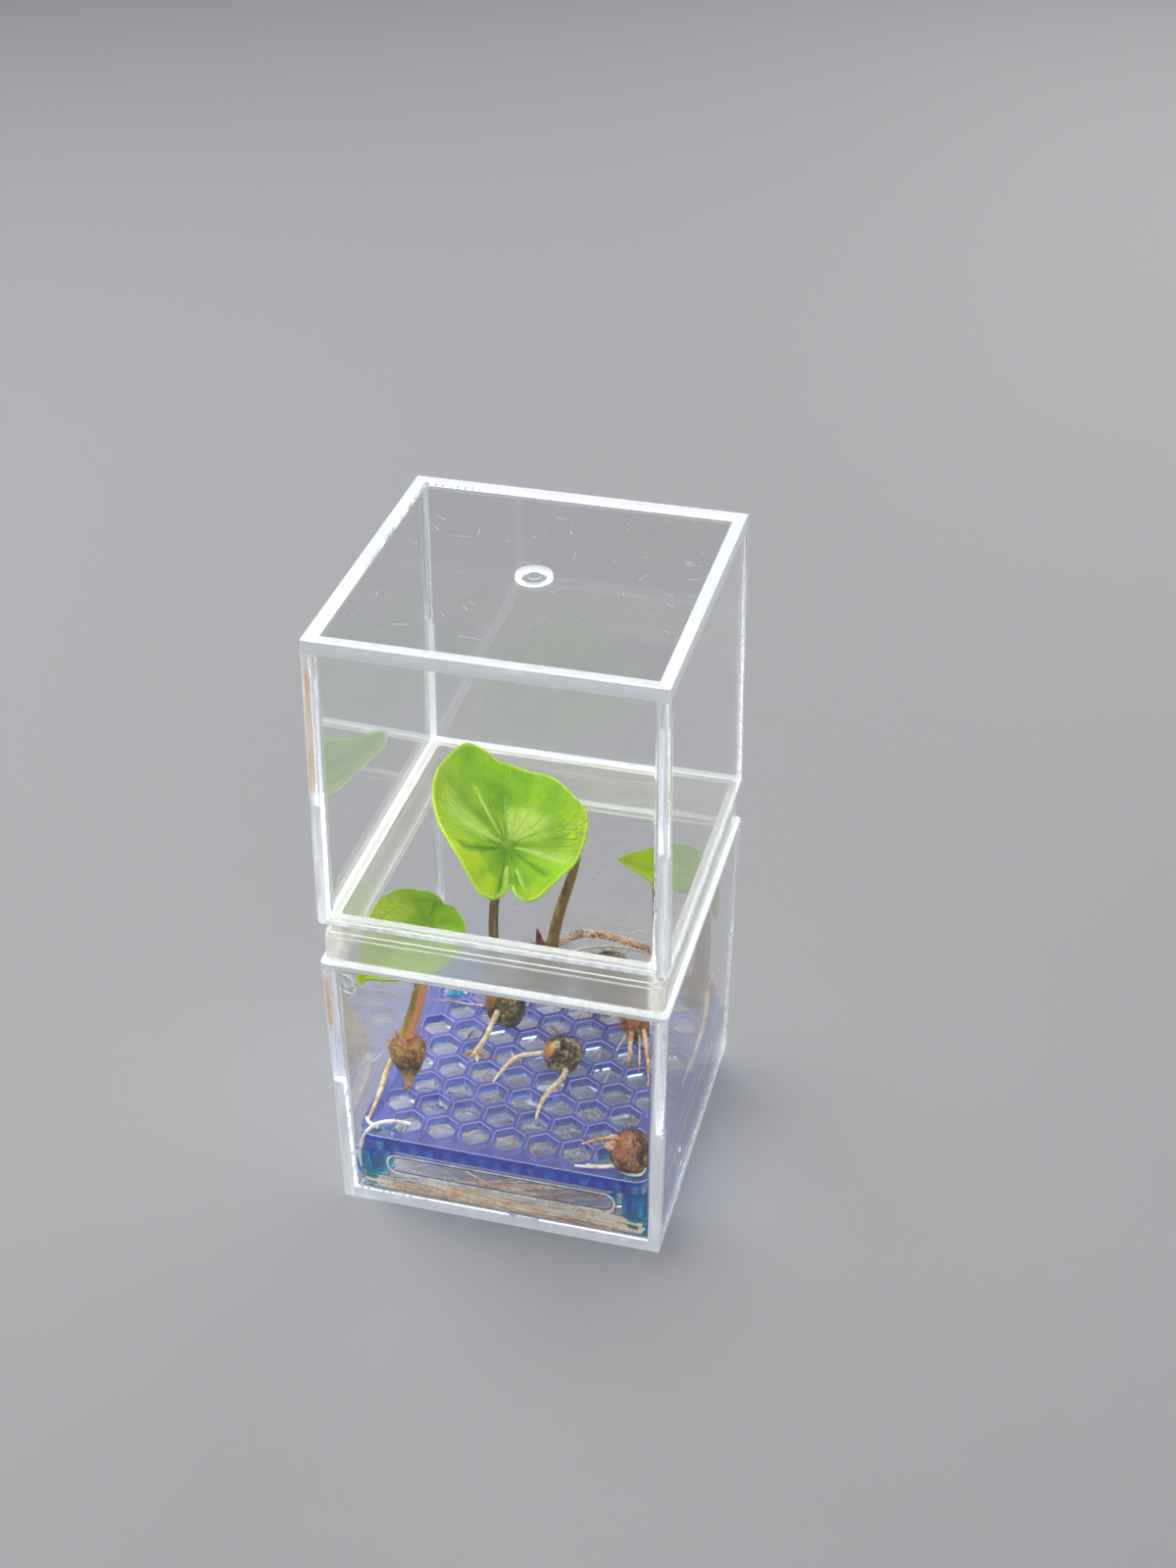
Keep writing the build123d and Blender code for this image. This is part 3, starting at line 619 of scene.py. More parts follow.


# Each fan is the rim point it aims at, its half width in rim points, where it starts and ends from the stalk
# to the rim, how strong it is, and which of its sides is steep
# The pale and yellow fans paint highlights on the blade, and the folds paint shade as well as dipping it
leafLooks = {
    "bigLeafBlade": {
        "node": "big_leaf", "attach": (-5.8, 3.4, 50.6),
        "rim": [
            (-2.4, -5.9, 50.3), (-0.9, -8.1, 50.4), (1.1, -8.6, 50.2), (2.6, -6.4, 50.2), (4, -2.6, 50.4),
            (5.5, 1, 51.2), (6.1, 4.3, 52.6), (5.8, 7.6, 53.6), (4.4, 11.1, 54), (2.5, 13.6, 54),
            (-0.9, 17, 53.6), (-3.7, 19.5, 53.2), (-7.4, 20.4, 53), (-10.5, 21, 53), (-12.4, 21.2, 53.4),
            (-14.7, 22, 54.6), (-17, 21.3, 55.8), (-18.2, 18.4, 56.8), (-18.7, 14.5, 57.5), (-18.5, 9.6, 58),
            (-17.3, 3.8, 58), (-14.7, -2.1, 57.8), (-11.2, -6.8, 57), (-8.3, -9.5, 55), (-6.5, -10.8, 53.4),
            (-5.1, -11.6, 52.2), (-3.8, -10.9, 51.2), (-2.9, -8.6, 50.6),
        ],
        "rings": 64, "spokes": 280, "cup": 1.3, "arch": -0.25, "wave": 0.18, "waves": 9, "ridgeHeight": 0.35,
        "foldDepth": 0.75, "veins": [(13.55, 0.1, 0, 0.62, 1, 0), (13.25, 0.05, 0, 0.6, 0.6, 0)],
        "highlightFans": [
            (20.2, 0.95, 0.04, 0.88, 1, 1), (17.2, 0.4, 0.08, 0.7, 0.85, 1), (15, 0.5, 0.04, 0.42, 0.4, 0),
            (12.4, 0.9, 0.04, 0.56, 0.95, 0), (11.2, 0.9, 0.05, 0.58, 1, 0), (10, 0.9, 0.05, 0.62, 1, 0),
            (8.8, 0.8, 0.06, 0.68, 0.9, 0), (7.4, 0.7, 0.1, 0.62, 0.55, 0), (4.9, 0.6, 0.1, 0.98, 1, -1),
            (27.5, 0.55, 0.45, 1, 0.95, 1), (1.9, 0.4, 0.4, 0.86, 0.8, -1),
        ],
        "folds": [
            (21.7, 0.55, 0.05, 0.9, 0.9, -1), (4, 0.45, 0.06, 0.9, 0.75, 1), (26.5, 0.4, 0.15, 0.95, 0.8, 0),
            (0.6, 0.35, 0.15, 0.9, 0.8, 0), (13.3, 0.14, 0.05, 0.7, 0.55, 0), (18.4, 0.5, 0.2, 0.8, 0.35, 0),
        ],
        "yellowHighlightFans": [
            (22.4, 1.3, 0.5, 1.2, 0.8, 0), (24.8, 1, 0.55, 1.2, 0.9, 0), (19.6, 1, 0.7, 1.2, 0.5, 0),
            (6.6, 1.6, 0.72, 1.2, 0.5, 0), (2.6, 1, 0.7, 1.2, 0.4, 0),
        ],
        "ridges": [
            (7.2, 1.7, 0.45, 1.2, 1, 0), (9, 1.2, 0.5, 1.2, 0.6, 0), (19.4, 1.7, 0.55, 1.2, 0.7, 0),
            (12, 2, 0.5, 1.2, 0.3, 0),
        ],
        "shaded": (0.14, 0.34, 0), "green": (0.23, 0.46, 0), "yellowHighlight": (0.45, 0.61, 0),
        "deep": (0.05, 0.17, 0), "pale": (0.47, 0.63, 0.13), "vein": (0.48, 0.78, 0.42),
        "rimColour": (0.5, 0.72, 0.07),
    },
    "frontLeftLeafBlade": {
        "node": "front_left_leaf", "attach": (-14.4, -9.6, 43.3),
        "rim": [
            (-13.8, -3.4, 43), (-14.8, -2.5, 43.2), (-16.3, -2, 43.8), (-18, -2.5, 44.2), (-19.9, -3.9, 45),
            (-21.3, -6, 45.6), (-22.2, -9.5, 46), (-22.3, -13.6, 45.6), (-22.1, -17.6, 43),
            (-21.9, -20.6, 38.9), (-19.8, -21, 41), (-15.4, -21.3, 42), (-11.2, -19.6, 42.3),
            (-8.6, -14.6, 42.5), (-8.7, -8.8, 42.6), (-10.5, -5.6, 42.9), (-12.2, -3.7, 43),
        ],
        "rings": 44, "spokes": 190, "cup": 1.5, "arch": 0.5, "wave": 0.1, "waves": 6, "ridgeHeight": 0.22,
        "foldDepth": 0.4, "veins": [(8, 0.06, 0, 0.8, 0.7, 0)],
        "highlightFans": [
            (5.4, 0.6, 0.3, 0.95, 0.65, 1), (7, 0.8, 0.35, 1.2, 0.8, 0), (8.6, 0.6, 0.2, 0.9, 0.5, 0),
            (13.2, 0.5, 0.2, 0.8, 0.3, 0),
        ],
        "folds": [(1, 0.45, 0.1, 0.9, 0.5, 0), (3.6, 0.5, 0.15, 0.8, 0.35, 0), (14.6, 0.5, 0.2, 0.9, 0.3, 0)],
        "yellowHighlightFans": [(6.4, 2.2, 0.35, 1.2, 0.85, 0), (9, 1.2, 0.5, 1.2, 1, 0)],
        "ridges": [(5.6, 1.6, 0.35, 1.2, 0.9, 0), (15.4, 1.2, 0.4, 1.2, 0.6, 0), (2.6, 1, 0.5, 1.2, 0.4, 0)],
        "shaded": (0.17, 0.39, 0), "green": (0.26, 0.52, 0), "yellowHighlight": (0.5, 0.68, 0),
        "deep": (0.06, 0.22, 0), "pale": (0.5, 0.68, 0.1), "vein": (0.46, 0.7, 0.26),
        "rimColour": (0.46, 0.7, 0.05),
    },
    "rightLeafBlade": {
        "node": "right_leaf", "attach": (19.6, 17.6, 38.4),
        "rim": [
            (21, 18.4, 33.5), (18.7, 16.4, 36.4), (16.6, 14.8, 37.6), (14.6, 14.9, 38.2), (13, 16.2, 38.8),
            (10.8, 17.2, 39.4), (8.9, 18, 39.8), (7.8, 18.7, 40), (8.9, 19.5, 40.3), (10.6, 20.3, 40.7),
            (12.6, 21.4, 41.1), (14.8, 21.9, 41.7), (17, 22, 41.5), (19.4, 21.1, 40.8), (21.6, 20, 39),
            (22.2, 19.3, 36.6), (22.3, 18.8, 34), (22.2, 18, 31),
        ],
        "rings": 40, "spokes": 190, "cup": 1.4, "arch": 0.3, "wave": 0.06, "waves": 5, "ridgeHeight": 0.18,
        "foldDepth": 0.35, "veins": [(7, 0.06, 0.1, 0.85, 0.6, 0)],
        "highlightFans": [(7.6, 0.4, 0.55, 0.95, 0.6, 0), (12, 0.9, 0.3, 0.9, 0.4, 0), (3.2, 0.6, 0.3, 0.8, 0.4, 0)],
        "folds": [(6, 0.5, 0.2, 0.9, 0.4, 0), (9.6, 0.5, 0.3, 0.9, 0.3, 0)],
        "yellowHighlightFans": [(7, 3.2, 0.15, 1.2, 0.9, 0), (4, 1.6, 0.6, 1.2, 0.8, 0)],
        "ridges": [(12, 2.5, 0.4, 1.2, 0.4, 0)], "shaded": (0.18, 0.44, 0), "green": (0.27, 0.56, 0),
        "yellowHighlight": (0.5, 0.7, 0), "deep": (0.07, 0.26, 0), "pale": (0.5, 0.66, 0.12), "vein": (0.4, 0.6, 0.14),
        "rimColour": (0.56, 0.72, 0.12),
    },
    "backLeafBlade": {
        "node": "back_leaf", "attach": (2, 14.9, 41.8),
        "rim": [
            (2.3, 14.6, 41.9), (0.2, 12.8, 43), (-3.4, 13.4, 44.4), (-7.2, 16.6, 46.2), (-3.6, 17.6, 45),
            (0.2, 17, 43.4), (2.2, 15.4, 41.9),
        ],
        "rings": 22, "spokes": 90, "cup": 1.3, "arch": 0.3, "wave": 0.05, "waves": 3, "ridgeHeight": 0.12,
        "foldDepth": 0.3, "veins": [(3, 0.06, 0.1, 0.85, 0.6, 0)], "highlightFans": [(2.2, 0.3, 0.3, 0.9, 0.5, 0)],
        "folds": [(4.2, 0.3, 0.2, 0.9, 0.4, 0)], "yellowHighlightFans": [(3, 0.8, 0.6, 1.2, 0.6, 0)],
        "ridges": [(1.6, 1, 0.4, 1.2, 0.4, 0)], "shaded": (0.14, 0.37, 0), "green": (0.21, 0.48, 0),
        "yellowHighlight": (0.41, 0.61, 0), "deep": (0.055, 0.22, 0), "pale": (0.34, 0.52, 0.13),
        "vein": (0.32, 0.54, 0.16), "rimColour": (0.4, 0.58, 0.15),
    },
}
bladeLook = {
    "thickness": 0.38 * mm, "rimLift": 0.14, "liftWidth": 0.05, "veinDip": 0.12,
    "lumps": 0.30, "wander": 0.30, "paleRim": 0.972, "paleRimFade": 0.018, "paleMiddle": 0.05,
}


def strongest(fans, turnAt, share, count):
    return min(1.0, max((fanShare(turnAt, share, count, fan) for fan in fans), default=0.0))


def bladeHeight(look, share, turn, climb, fans):
    height = climb * share ** look["cup"] + look["arch"] * math.sin(math.pi * share)
    height += look["wave"] * math.sin(2 * math.pi * look["waves"] * turn) * share**3
    height += look["ridgeHeight"] * fans["highlightFans"] * (1 - share**3)
    height -= look["foldDepth"] * fans["folds"] * (0.35 + 0.65 * share)
    height += bladeLook["rimLift"] * max(0.0, share - (1 - bladeLook["liftWidth"])) / bladeLook["liftWidth"]
    return height - bladeLook["veinDip"] * fans["veins"]


def makeLeaf(name, look):
    web = {"x_subdivisions": look["rings"], "y_subdivisions": look["spokes"], "size": 1}
    blade = newObject(bpy.ops.mesh.primitive_grid_add, name, **web)
    attach, count = Vector(look["attach"]), len(look["rim"])
    fields = {"vein": [], "pale": [], "yellowHighlight": [], "deep": [], "ridge": [], "rim": []}
    directions = []
    for vertex in blade.data.vertices:
        share, turn = vertex.co.x + 0.5, (vertex.co.y + 0.5) % 1
        rim = alongLoop(look["rim"], turn)
        place = attach + (rim - attach) * share
        fans = {}
        for key in ("veins", "highlightFans", "folds", "yellowHighlightFans", "ridges"):
            fans[key] = strongest(look[key], turn * count, share, count)
        height = bladeHeight(look, share, turn, rim.z - attach.z, fans)
        lump = noise.noise(Vector((place.x, place.y, 3)) * bladeLook["wander"])
        height += bladeLook["lumps"] * lump * share
        vertex.co = Vector((place.x, place.y, attach.z + height)) * mm
        # Masks for the painted highlights on the blade
        pale = fans["highlightFans"]
        fields["vein"].append(fans["veins"] * 0.9)
        fields["pale"].append(max(pale, 0.85 * math.exp(-((share / bladeLook["paleMiddle"]) ** 2))))
        fields["yellowHighlight"].append(fans["yellowHighlightFans"] * (1 - 0.6 * pale))
        # Mask for the painted shade in the folds
        fields["deep"].append(min(1.0, fans["folds"] * 0.8) * (1 - 0.8 * pale))
        fields["ridge"].append(max(0.12, fans["ridges"]))
        fields["rim"].append(within((share - bladeLook["paleRim"]) / bladeLook["paleRimFade"]) * 0.8)
        angle = 2 * math.pi * turn
        directions += [math.cos(angle), math.sin(angle), share]
    for key, values in fields.items():
        paint(blade, key, values)
    blade.data.attributes.new("spoke", "FLOAT_VECTOR", "POINT").data.foreach_set("vector", directions)
    editAll(blade)
    bpy.ops.mesh.remove_doubles(threshold=0.001 * mm)
    bpy.ops.mesh.normals_make_consistent(inside=False)
    objectMode()
    if sum(face.normal.z * face.area for face in blade.data.polygons) < 0:
        editAll(blade)
        bpy.ops.mesh.flip_normals()
        objectMode()
    addModifier(blade, "SOLIDIFY", thickness=bladeLook["thickness"], offset=0, use_even_offset=True)
    finishPiece(blade, "tray", [makeLeafSkin(name + "Skin", look)], [look["node"]])


for name, look in leafLooks.items():
    makeLeaf(name, look)
print("leaves made")


# Stalks, roots and fibres: smooth curves whose thickness changes along them, made solid
def drawStrands(name, strands, skinNames, sides=2, steps=4):
    path = newObject(bpy.ops.curve.primitive_nurbs_path_add, name)
    path.data.splines.clear()
    path.data.bevel_depth = mm
    path.data.bevel_resolution = sides
    path.data.use_fill_caps = True
    for skinName in skinNames:
        path.data.materials.append(skins[skinName])
    for points, skinNumber in strands:
        spline = path.data.splines.new("NURBS")
        spline.points.add(len(points) - 1)
        for point, (x, y, z, radius) in zip(spline.points, points):
            point.co = (x * mm, y * mm, z * mm, 1)
            point.radius = radius
        spline.order_u = min(4, len(points))
        spline.use_endpoint_u = True
        spline.resolution_u = steps
        spline.material_index = skinNumber
    bpy.ops.object.convert(target="MESH")
    solid = bpy.context.object
    editAll(solid)
    bpy.ops.mesh.remove_doubles(threshold=0.0005 * mm)
    bpy.ops.mesh.normals_make_consistent(inside=False)
    objectMode()
    return solid


def roughen(obj, depth, scale, flankDirection=None):
    normals = [vertex.normal.copy() for vertex in obj.data.vertices]
    if flankDirection:
        towards = Vector(flankDirection).normalized()
        paint(obj, "flank", [within((normal.dot(towards) + 0.08) * 2.4) for normal in normals])
    for vertex, normal in zip(obj.data.vertices, normals):
        lump = noise.noise(vertex.co * scale) + 0.5 * noise.noise(vertex.co * scale * 2.7)
        vertex.co += normal * lump * depth * mm


stalkLooks = {
    "frontLeftStalkStem": {
        "node": "front_left_stalk", "skin": "twoToneStalk", "flankDirection": (0.9, -0.1, 0),
        "route": [
            (-19.2, -8.4, 20, 1.35), (-18.9, -8.2, 21.6, 1.22), (-18.2, -8, 23.6, 1.16),
            (-17.1, -8, 27.6, 1.16), (-16.2, -8.3, 32, 1.1), (-15.3, -9.1, 38, 0.88),
            (-14.6, -9.9, 42.7, 0.62),
        ],
    },
    "bigLeafStalkStem": {
        "node": "big_leaf_stalk", "skin": "brownStalk", "flankDirection": (-1, -0.3, 0),
        "route": [
            (-9, 9, 17.4, 1.2), (-9.5, 9.1, 20, 0.9), (-10.4, 9, 28, 0.78), (-9.4, 7.6, 38, 0.74),
            (-7, 4.6, 47, 0.66), (-5.9, 3.4, 50.1, 0.5),
        ],
    },
    "backStalkStem": {
        "node": "back_stalk", "skin": "oliveStalk", "flankDirection": (1, -0.2, 0),
        "route": [
            (-3.5, 18.6, 19, 1.25), (-3.1, 18.3, 21.5, 1), (-2.3, 17.5, 26, 0.92), (-0.3, 15.8, 33.5, 0.86),
            (1.5, 15.1, 39, 0.72), (2, 14.9, 41.6, 0.55),
        ],
    },
    "rightStalkStem": {
        "node": "right_stalk", "skin": "brownStalk", "flankDirection": (0.6, -1, 0),
        "route": [
            (19.5, 19.3, 16.6, 1.7), (19.8, 19.3, 19, 1.3), (20.2, 19.2, 25, 1.15), (20.1, 18.6, 31, 1.05),
            (19.8, 17.8, 36.4, 0.85), (19.7, 17.6, 38.2, 0.6),
        ],
    },
}


def makeStalks():
    for name, look in stalkLooks.items():
        stem = drawStrands(name, [(look["route"], 0)], [look["skin"]], sides=8, steps=14)
        roughen(stem, depth=0.05, scale=1100, flankDirection=look["flankDirection"])
        finishPiece(stem, "tray", replaced=[look["node"]])
    sheath = [
        (-4.9, 18.0, 18.4, 1.15), (-5.0, 18.0, 20.0, 0.95), (-5.2, 18.0, 22.2, 0.62),
        (-5.5, 17.9, 24.2, 0.14),
    ]
    leafScale = [(-4.5, 17.6, 18.6, 0.8), (-4.5, 17.5, 20.4, 0.55), (-4.4, 17.4, 22.4, 0.12)]
    husk = drawStrands("redBackSheath", [(sheath, 0), (leafScale, 0)], ["redSheath"], sides=6, steps=8)
    roughen(husk, depth=0.07, scale=900)
    finishPiece(husk, "tray", replaced=["back_sheath"])


makeStalks()
print("stalks made")


# Corms: a ball reshaped to each corm's outline, with lumps, leaf scars and a flat seat on the tray. Its hairs
# are their count, the shares of its height between which they start, their length and how far they hang
cormLooks = {
    "frontLeftCormBody": {
        "node": "front_left_corm", "skin": "goldenCorm", "foot": (-18.4, -10.8), "lean": (-0.1, 0.3, 1),
        "radius": 2.85, "height": 9, "profile": (0.2, 0.3, 0.45, 0.64, 0.84, 0.97, 1, 0.82, 0.46),
        "litPatch": (0, 0, 1, 0.86), "scars": 4, "lumps": 0.07, "seed": 3, "hairs": (150, 0.6, 0.99, 1.2, 0),
        "hairSkin": "orangeFibre",
    },
    "bigCormBody": {
        "node": "big_leaf_corm", "skin": "oliveCorm", "foot": (-6.9, 7.6), "lean": (-0.4, 0.22, 1),
        "radius": 3.15, "height": 7.2, "profile": (0.36, 0.66, 0.86, 0.97, 1, 0.96, 0.86, 0.68, 0.42),
        "litPatch": (-0.8, -0.3, 0.5, 0.72), "scars": 5, "lumps": 0.08, "seed": 8,
        "hairs": (110, 0.55, 0.98, 1.4, 0), "hairSkin": "darkFibre",
    },
    "backCormBody": {
        "node": "back_corm", "skin": "darkCorm", "foot": (-4.4, 17.7), "lean": (0, 0, 1), "radius": 4.1,
        "height": 9.2, "profile": (0.5, 0.76, 0.92, 1, 1, 0.94, 0.82, 0.62, 0.34),
        "litPatch": (0.3, -0.8, 0.5, 0.8), "scars": 5, "lumps": 0.09, "seed": 13,
        "hairs": (260, 0.3, 0.9, 2, 0.75), "hairSkin": "darkFibre",
    },
    "rightCormBody": {
        "node": "right_corm", "skin": "tanCorm", "foot": (19.5, 19.3), "lean": (0, 0, 1), "radius": 2.75,
        "height": 6.2, "profile": (0.45, 0.72, 0.9, 1, 1, 0.94, 0.82, 0.64, 0.44),
        "litPatch": (0.8, -0.4, 0.4, 0.6), "scars": 4, "lumps": 0.09, "seed": 21,
        "hairs": (110, 0.4, 0.95, 1.2, 0), "hairSkin": "orangeFibre",
    },
    "centreCormBody": {
        "node": "centre_corm", "skin": "centreCorm", "foot": (3.8, -0.5), "lean": (0, 0, 1), "radius": 3.15,
        "height": 6.2, "profile": (0.34, 0.68, 0.88, 0.97, 1, 0.97, 0.87, 0.66, 0.24),
        "litPatch": (-0.72, -0.5, 0.48, 0.83), "scars": 3, "lumps": 0.09, "seed": 34,
        "hairs": (50, 0.2, 0.8, 0.7, 0), "hairSkin": "darkFibre",
    },
    "frontRightCormBody": {
        "node": "front_right_corm", "skin": "tanCorm", "foot": (19.5, -19.3), "lean": (0, 0.04, 1),
        "radius": 3.3, "height": 6.4, "profile": (0.52, 0.8, 0.95, 1, 0.97, 0.89, 0.76, 0.56, 0.24),
        "litPatch": (-0.35, -0.55, 0.75, 0.62), "scars": 4, "lumps": 0.13, "seed": 55,
        "hairs": (120, 0.4, 0.98, 1.3, 0), "hairSkin": "darkFibre",
    },
    "darkCormBody": {
        "node": "dark_corm", "skin": "darkCorm", "foot": (6.6, 17.3), "lean": (0, 0, 1), "radius": 4.5,
        "height": 9.8, "profile": (0.5, 0.78, 0.94, 1, 0.98, 0.91, 0.79, 0.6, 0.3),
        "litPatch": (0, -0.4, 0.9, 0.88), "scars": 6, "lumps": 0.11, "seed": 5,
        "hairs": (360, 0.25, 0.88, 2.4, 0.8), "hairSkin": "darkFibre",
    },
    "redCormBody": {
        "node": "red_corm", "skin": "redCorm", "foot": (13.1, 10.5), "lean": (0, 0, 1), "radius": 2.55,
        "height": 5.5, "profile": (0.48, 0.76, 0.93, 1, 0.98, 0.9, 0.77, 0.58, 0.3),
        "litPatch": (0, -0.6, 0.8, 0.75), "scars": 4, "lumps": 0.12, "seed": 77,
        "hairs": (200, 0.25, 0.98, 1.6, 0), "hairSkin": "orangeFibre",
    },
}
seatSink = 0.4
surfaceLook = {
    "fineLumps": 0.018, "scarDepth": 0.022,
    "closing": 0.34,  # how much of each end draws in to a point
    "litPatchEdge": 7, "litPatchWander": 0.10, "lowShare": 0.42, "lowEdge": 3,
}


def keepIn(x, y, z, lowest=plateTop + 0.05):
    return within(x, -plantReach, plantReach), within(y, -plantReach, plantReach), max(lowest, z)


def cormRadius(look, share):
    profile = look["profile"]
    place = share * (len(profile) - 1)
    step = min(int(place), len(profile) - 2)
    near = (profile[within(step + n, 0, len(profile) - 1)] for n in (-1, 0, 1, 2))
    return smoothBetween(*near, place - step) * look["radius"]


def cormPoint(look, share, around, closing=1.0):
    axis = Vector(look["lean"]).normalized()
    side = axis.orthogonal().normalized()
    outwards = side * math.cos(around) + axis.cross(side) * math.sin(around)
    ball = outwards * 1.4 + axis * share * 2.4
    seed = Vector((look["seed"], 0, 0))
    lump = look["lumps"] * (noise.noise(ball * 1.1 + seed) + 0.5 * noise.noise(ball * 3.1 + seed))
    lump += surfaceLook["fineLumps"] * noise.noise(ball * 9 + seed)
    scar = math.sin(2 * math.pi * look["scars"] * share + 1.2 * noise.noise(ball * 0.8 + seed))
    radius = cormRadius(look, share) * (1 + lump + surfaceLook["scarDepth"] * scar) * closing
    foot = Vector((*look["foot"], plateTop - seatSink))
    return foot + axis * (share * look["height"]) + outwards * radius, outwards, axis


def makeCorm(name, look):
    body = newObject(bpy.ops.mesh.primitive_uv_sphere_add, name, segments=84, ring_count=56, radius=1)
    litPatch, low = [], []
    *target, size = look["litPatch"]
    target = Vector(target).normalized()
    for vertex in body.data.vertices:
        height = within(vertex.co.z, -1.0)
        share, spread = (height + 1) / 2, math.sqrt(1 - height * height)
        around = math.atan2(vertex.co.y, vertex.co.x)
        place, outwards, axis = cormPoint(look, share, around, min(1.0, spread / surfaceLook["closing"]))
        facing = (outwards * spread + axis * height).normalized()
        # Where the patch of painted light falls, on the side facing the given direction
        near = facing.dot(target) - size
        near += surfaceLook["litPatchWander"] * noise.noise(outwards * 2.5 + axis * share * 3)
        litPatch.append(within(near * surfaceLook["litPatchEdge"]) * 0.9)
        # How far up the painted shade on the lower part reaches
        low.append(within((surfaceLook["lowShare"] - share) * surfaceLook["lowEdge"]))
        vertex.co = Vector(keepIn(*place, lowest=plateTop + 0.03)) * mm
    paint(body, "litPatch", litPatch)
    paint(body, "low", low)
    finishPiece(body, "tray", [skins[look["skin"]]], [look["node"]])


def cormHairs(look, chance):
    count, lowest, highest, longest, fall = look["hairs"]
    hairs = []
    for _ in range(count):
        share = chance.uniform(lowest, highest)
        start, outwards, axis = cormPoint(look, share, chance.uniform(0, 2 * math.pi), 0.97)
        length = longest * chance.uniform(0.4, 1.2)
        out, rise = chance.uniform(0.25, 0.9), chance.uniform(0.1, 0.9) - fall
        aim = (outwards * out + axis * rise).normalized()
        bend = Vector([chance.uniform(-1, 1) for _ in range(3)]) * 0.5
        thick = chance.uniform(0.04, 0.10)
        points = []
        for part in (0, 0.35, 0.7, 1):
            sag = Vector((0, 0, 0.3 * part * part))
            place = start + (aim * part + bend * part * part) * length - sag * length
            points.append((*keepIn(*place), thick * (1 - 0.65 * part)))
        hairs.append((points, 0))
    return hairs


def makeCorms():
    for name, look in cormLooks.items():
        makeCorm(name, look)
        hairs = cormHairs(look, random.Random(look["seed"]))
        husk = drawStrands(name + "Hair", hairs, [look["hairSkin"]], sides=0, steps=3)
        finishPiece(husk, "tray", smoothAngle=40)
    nub = [(-18.4, -10.6, 13.1, 0.60), (-18.35, -11.5, 12.95, 0.55), (-18.3, -12.4, 12.85, 0.36)]
    shell = [
        (-18.2, -8.7, 20.3, 0.40), (-17.2, -9.1, 19.2, 0.70), (-16.7, -9.7, 17.6, 0.80),
        (-17.0, -10.3, 15.8, 0.66), (-17.7, -10.9, 14.2, 0.34),
    ]
    strands = [(nub, 1), (shell, 0)]
    extra = drawStrands("frontLeftCormNub", strands, ["goldenCorm", "salmonBud"], sides=6, steps=8)
    roughen(extra, depth=0.06, scale=900)
    finishPiece(extra, "tray")
    stub = [
        (19.2, -19.6, 16.2, 1.15), (17.6, -19.8, 16.0, 1.05), (16.4, -19.8, 15.8, 0.85),
        (15.4, -19.7, 15.6, 0.35),
    ]
    side = [(17.6, -19.2, 16.6, 0.65), (16.7, -19.0, 16.8, 0.5), (16.0, -18.8, 17.0, 0.2)]
    bud = drawStrands("frontRightBudBody", [(stub, 0), (side, 0)], ["salmonBud"], sides=8, steps=10)
    roughen(bud, depth=0.12, scale=700)
    finishPiece(bud, "tray", replaced=["front_right_bud"])


makeCorms()
print("corms made")


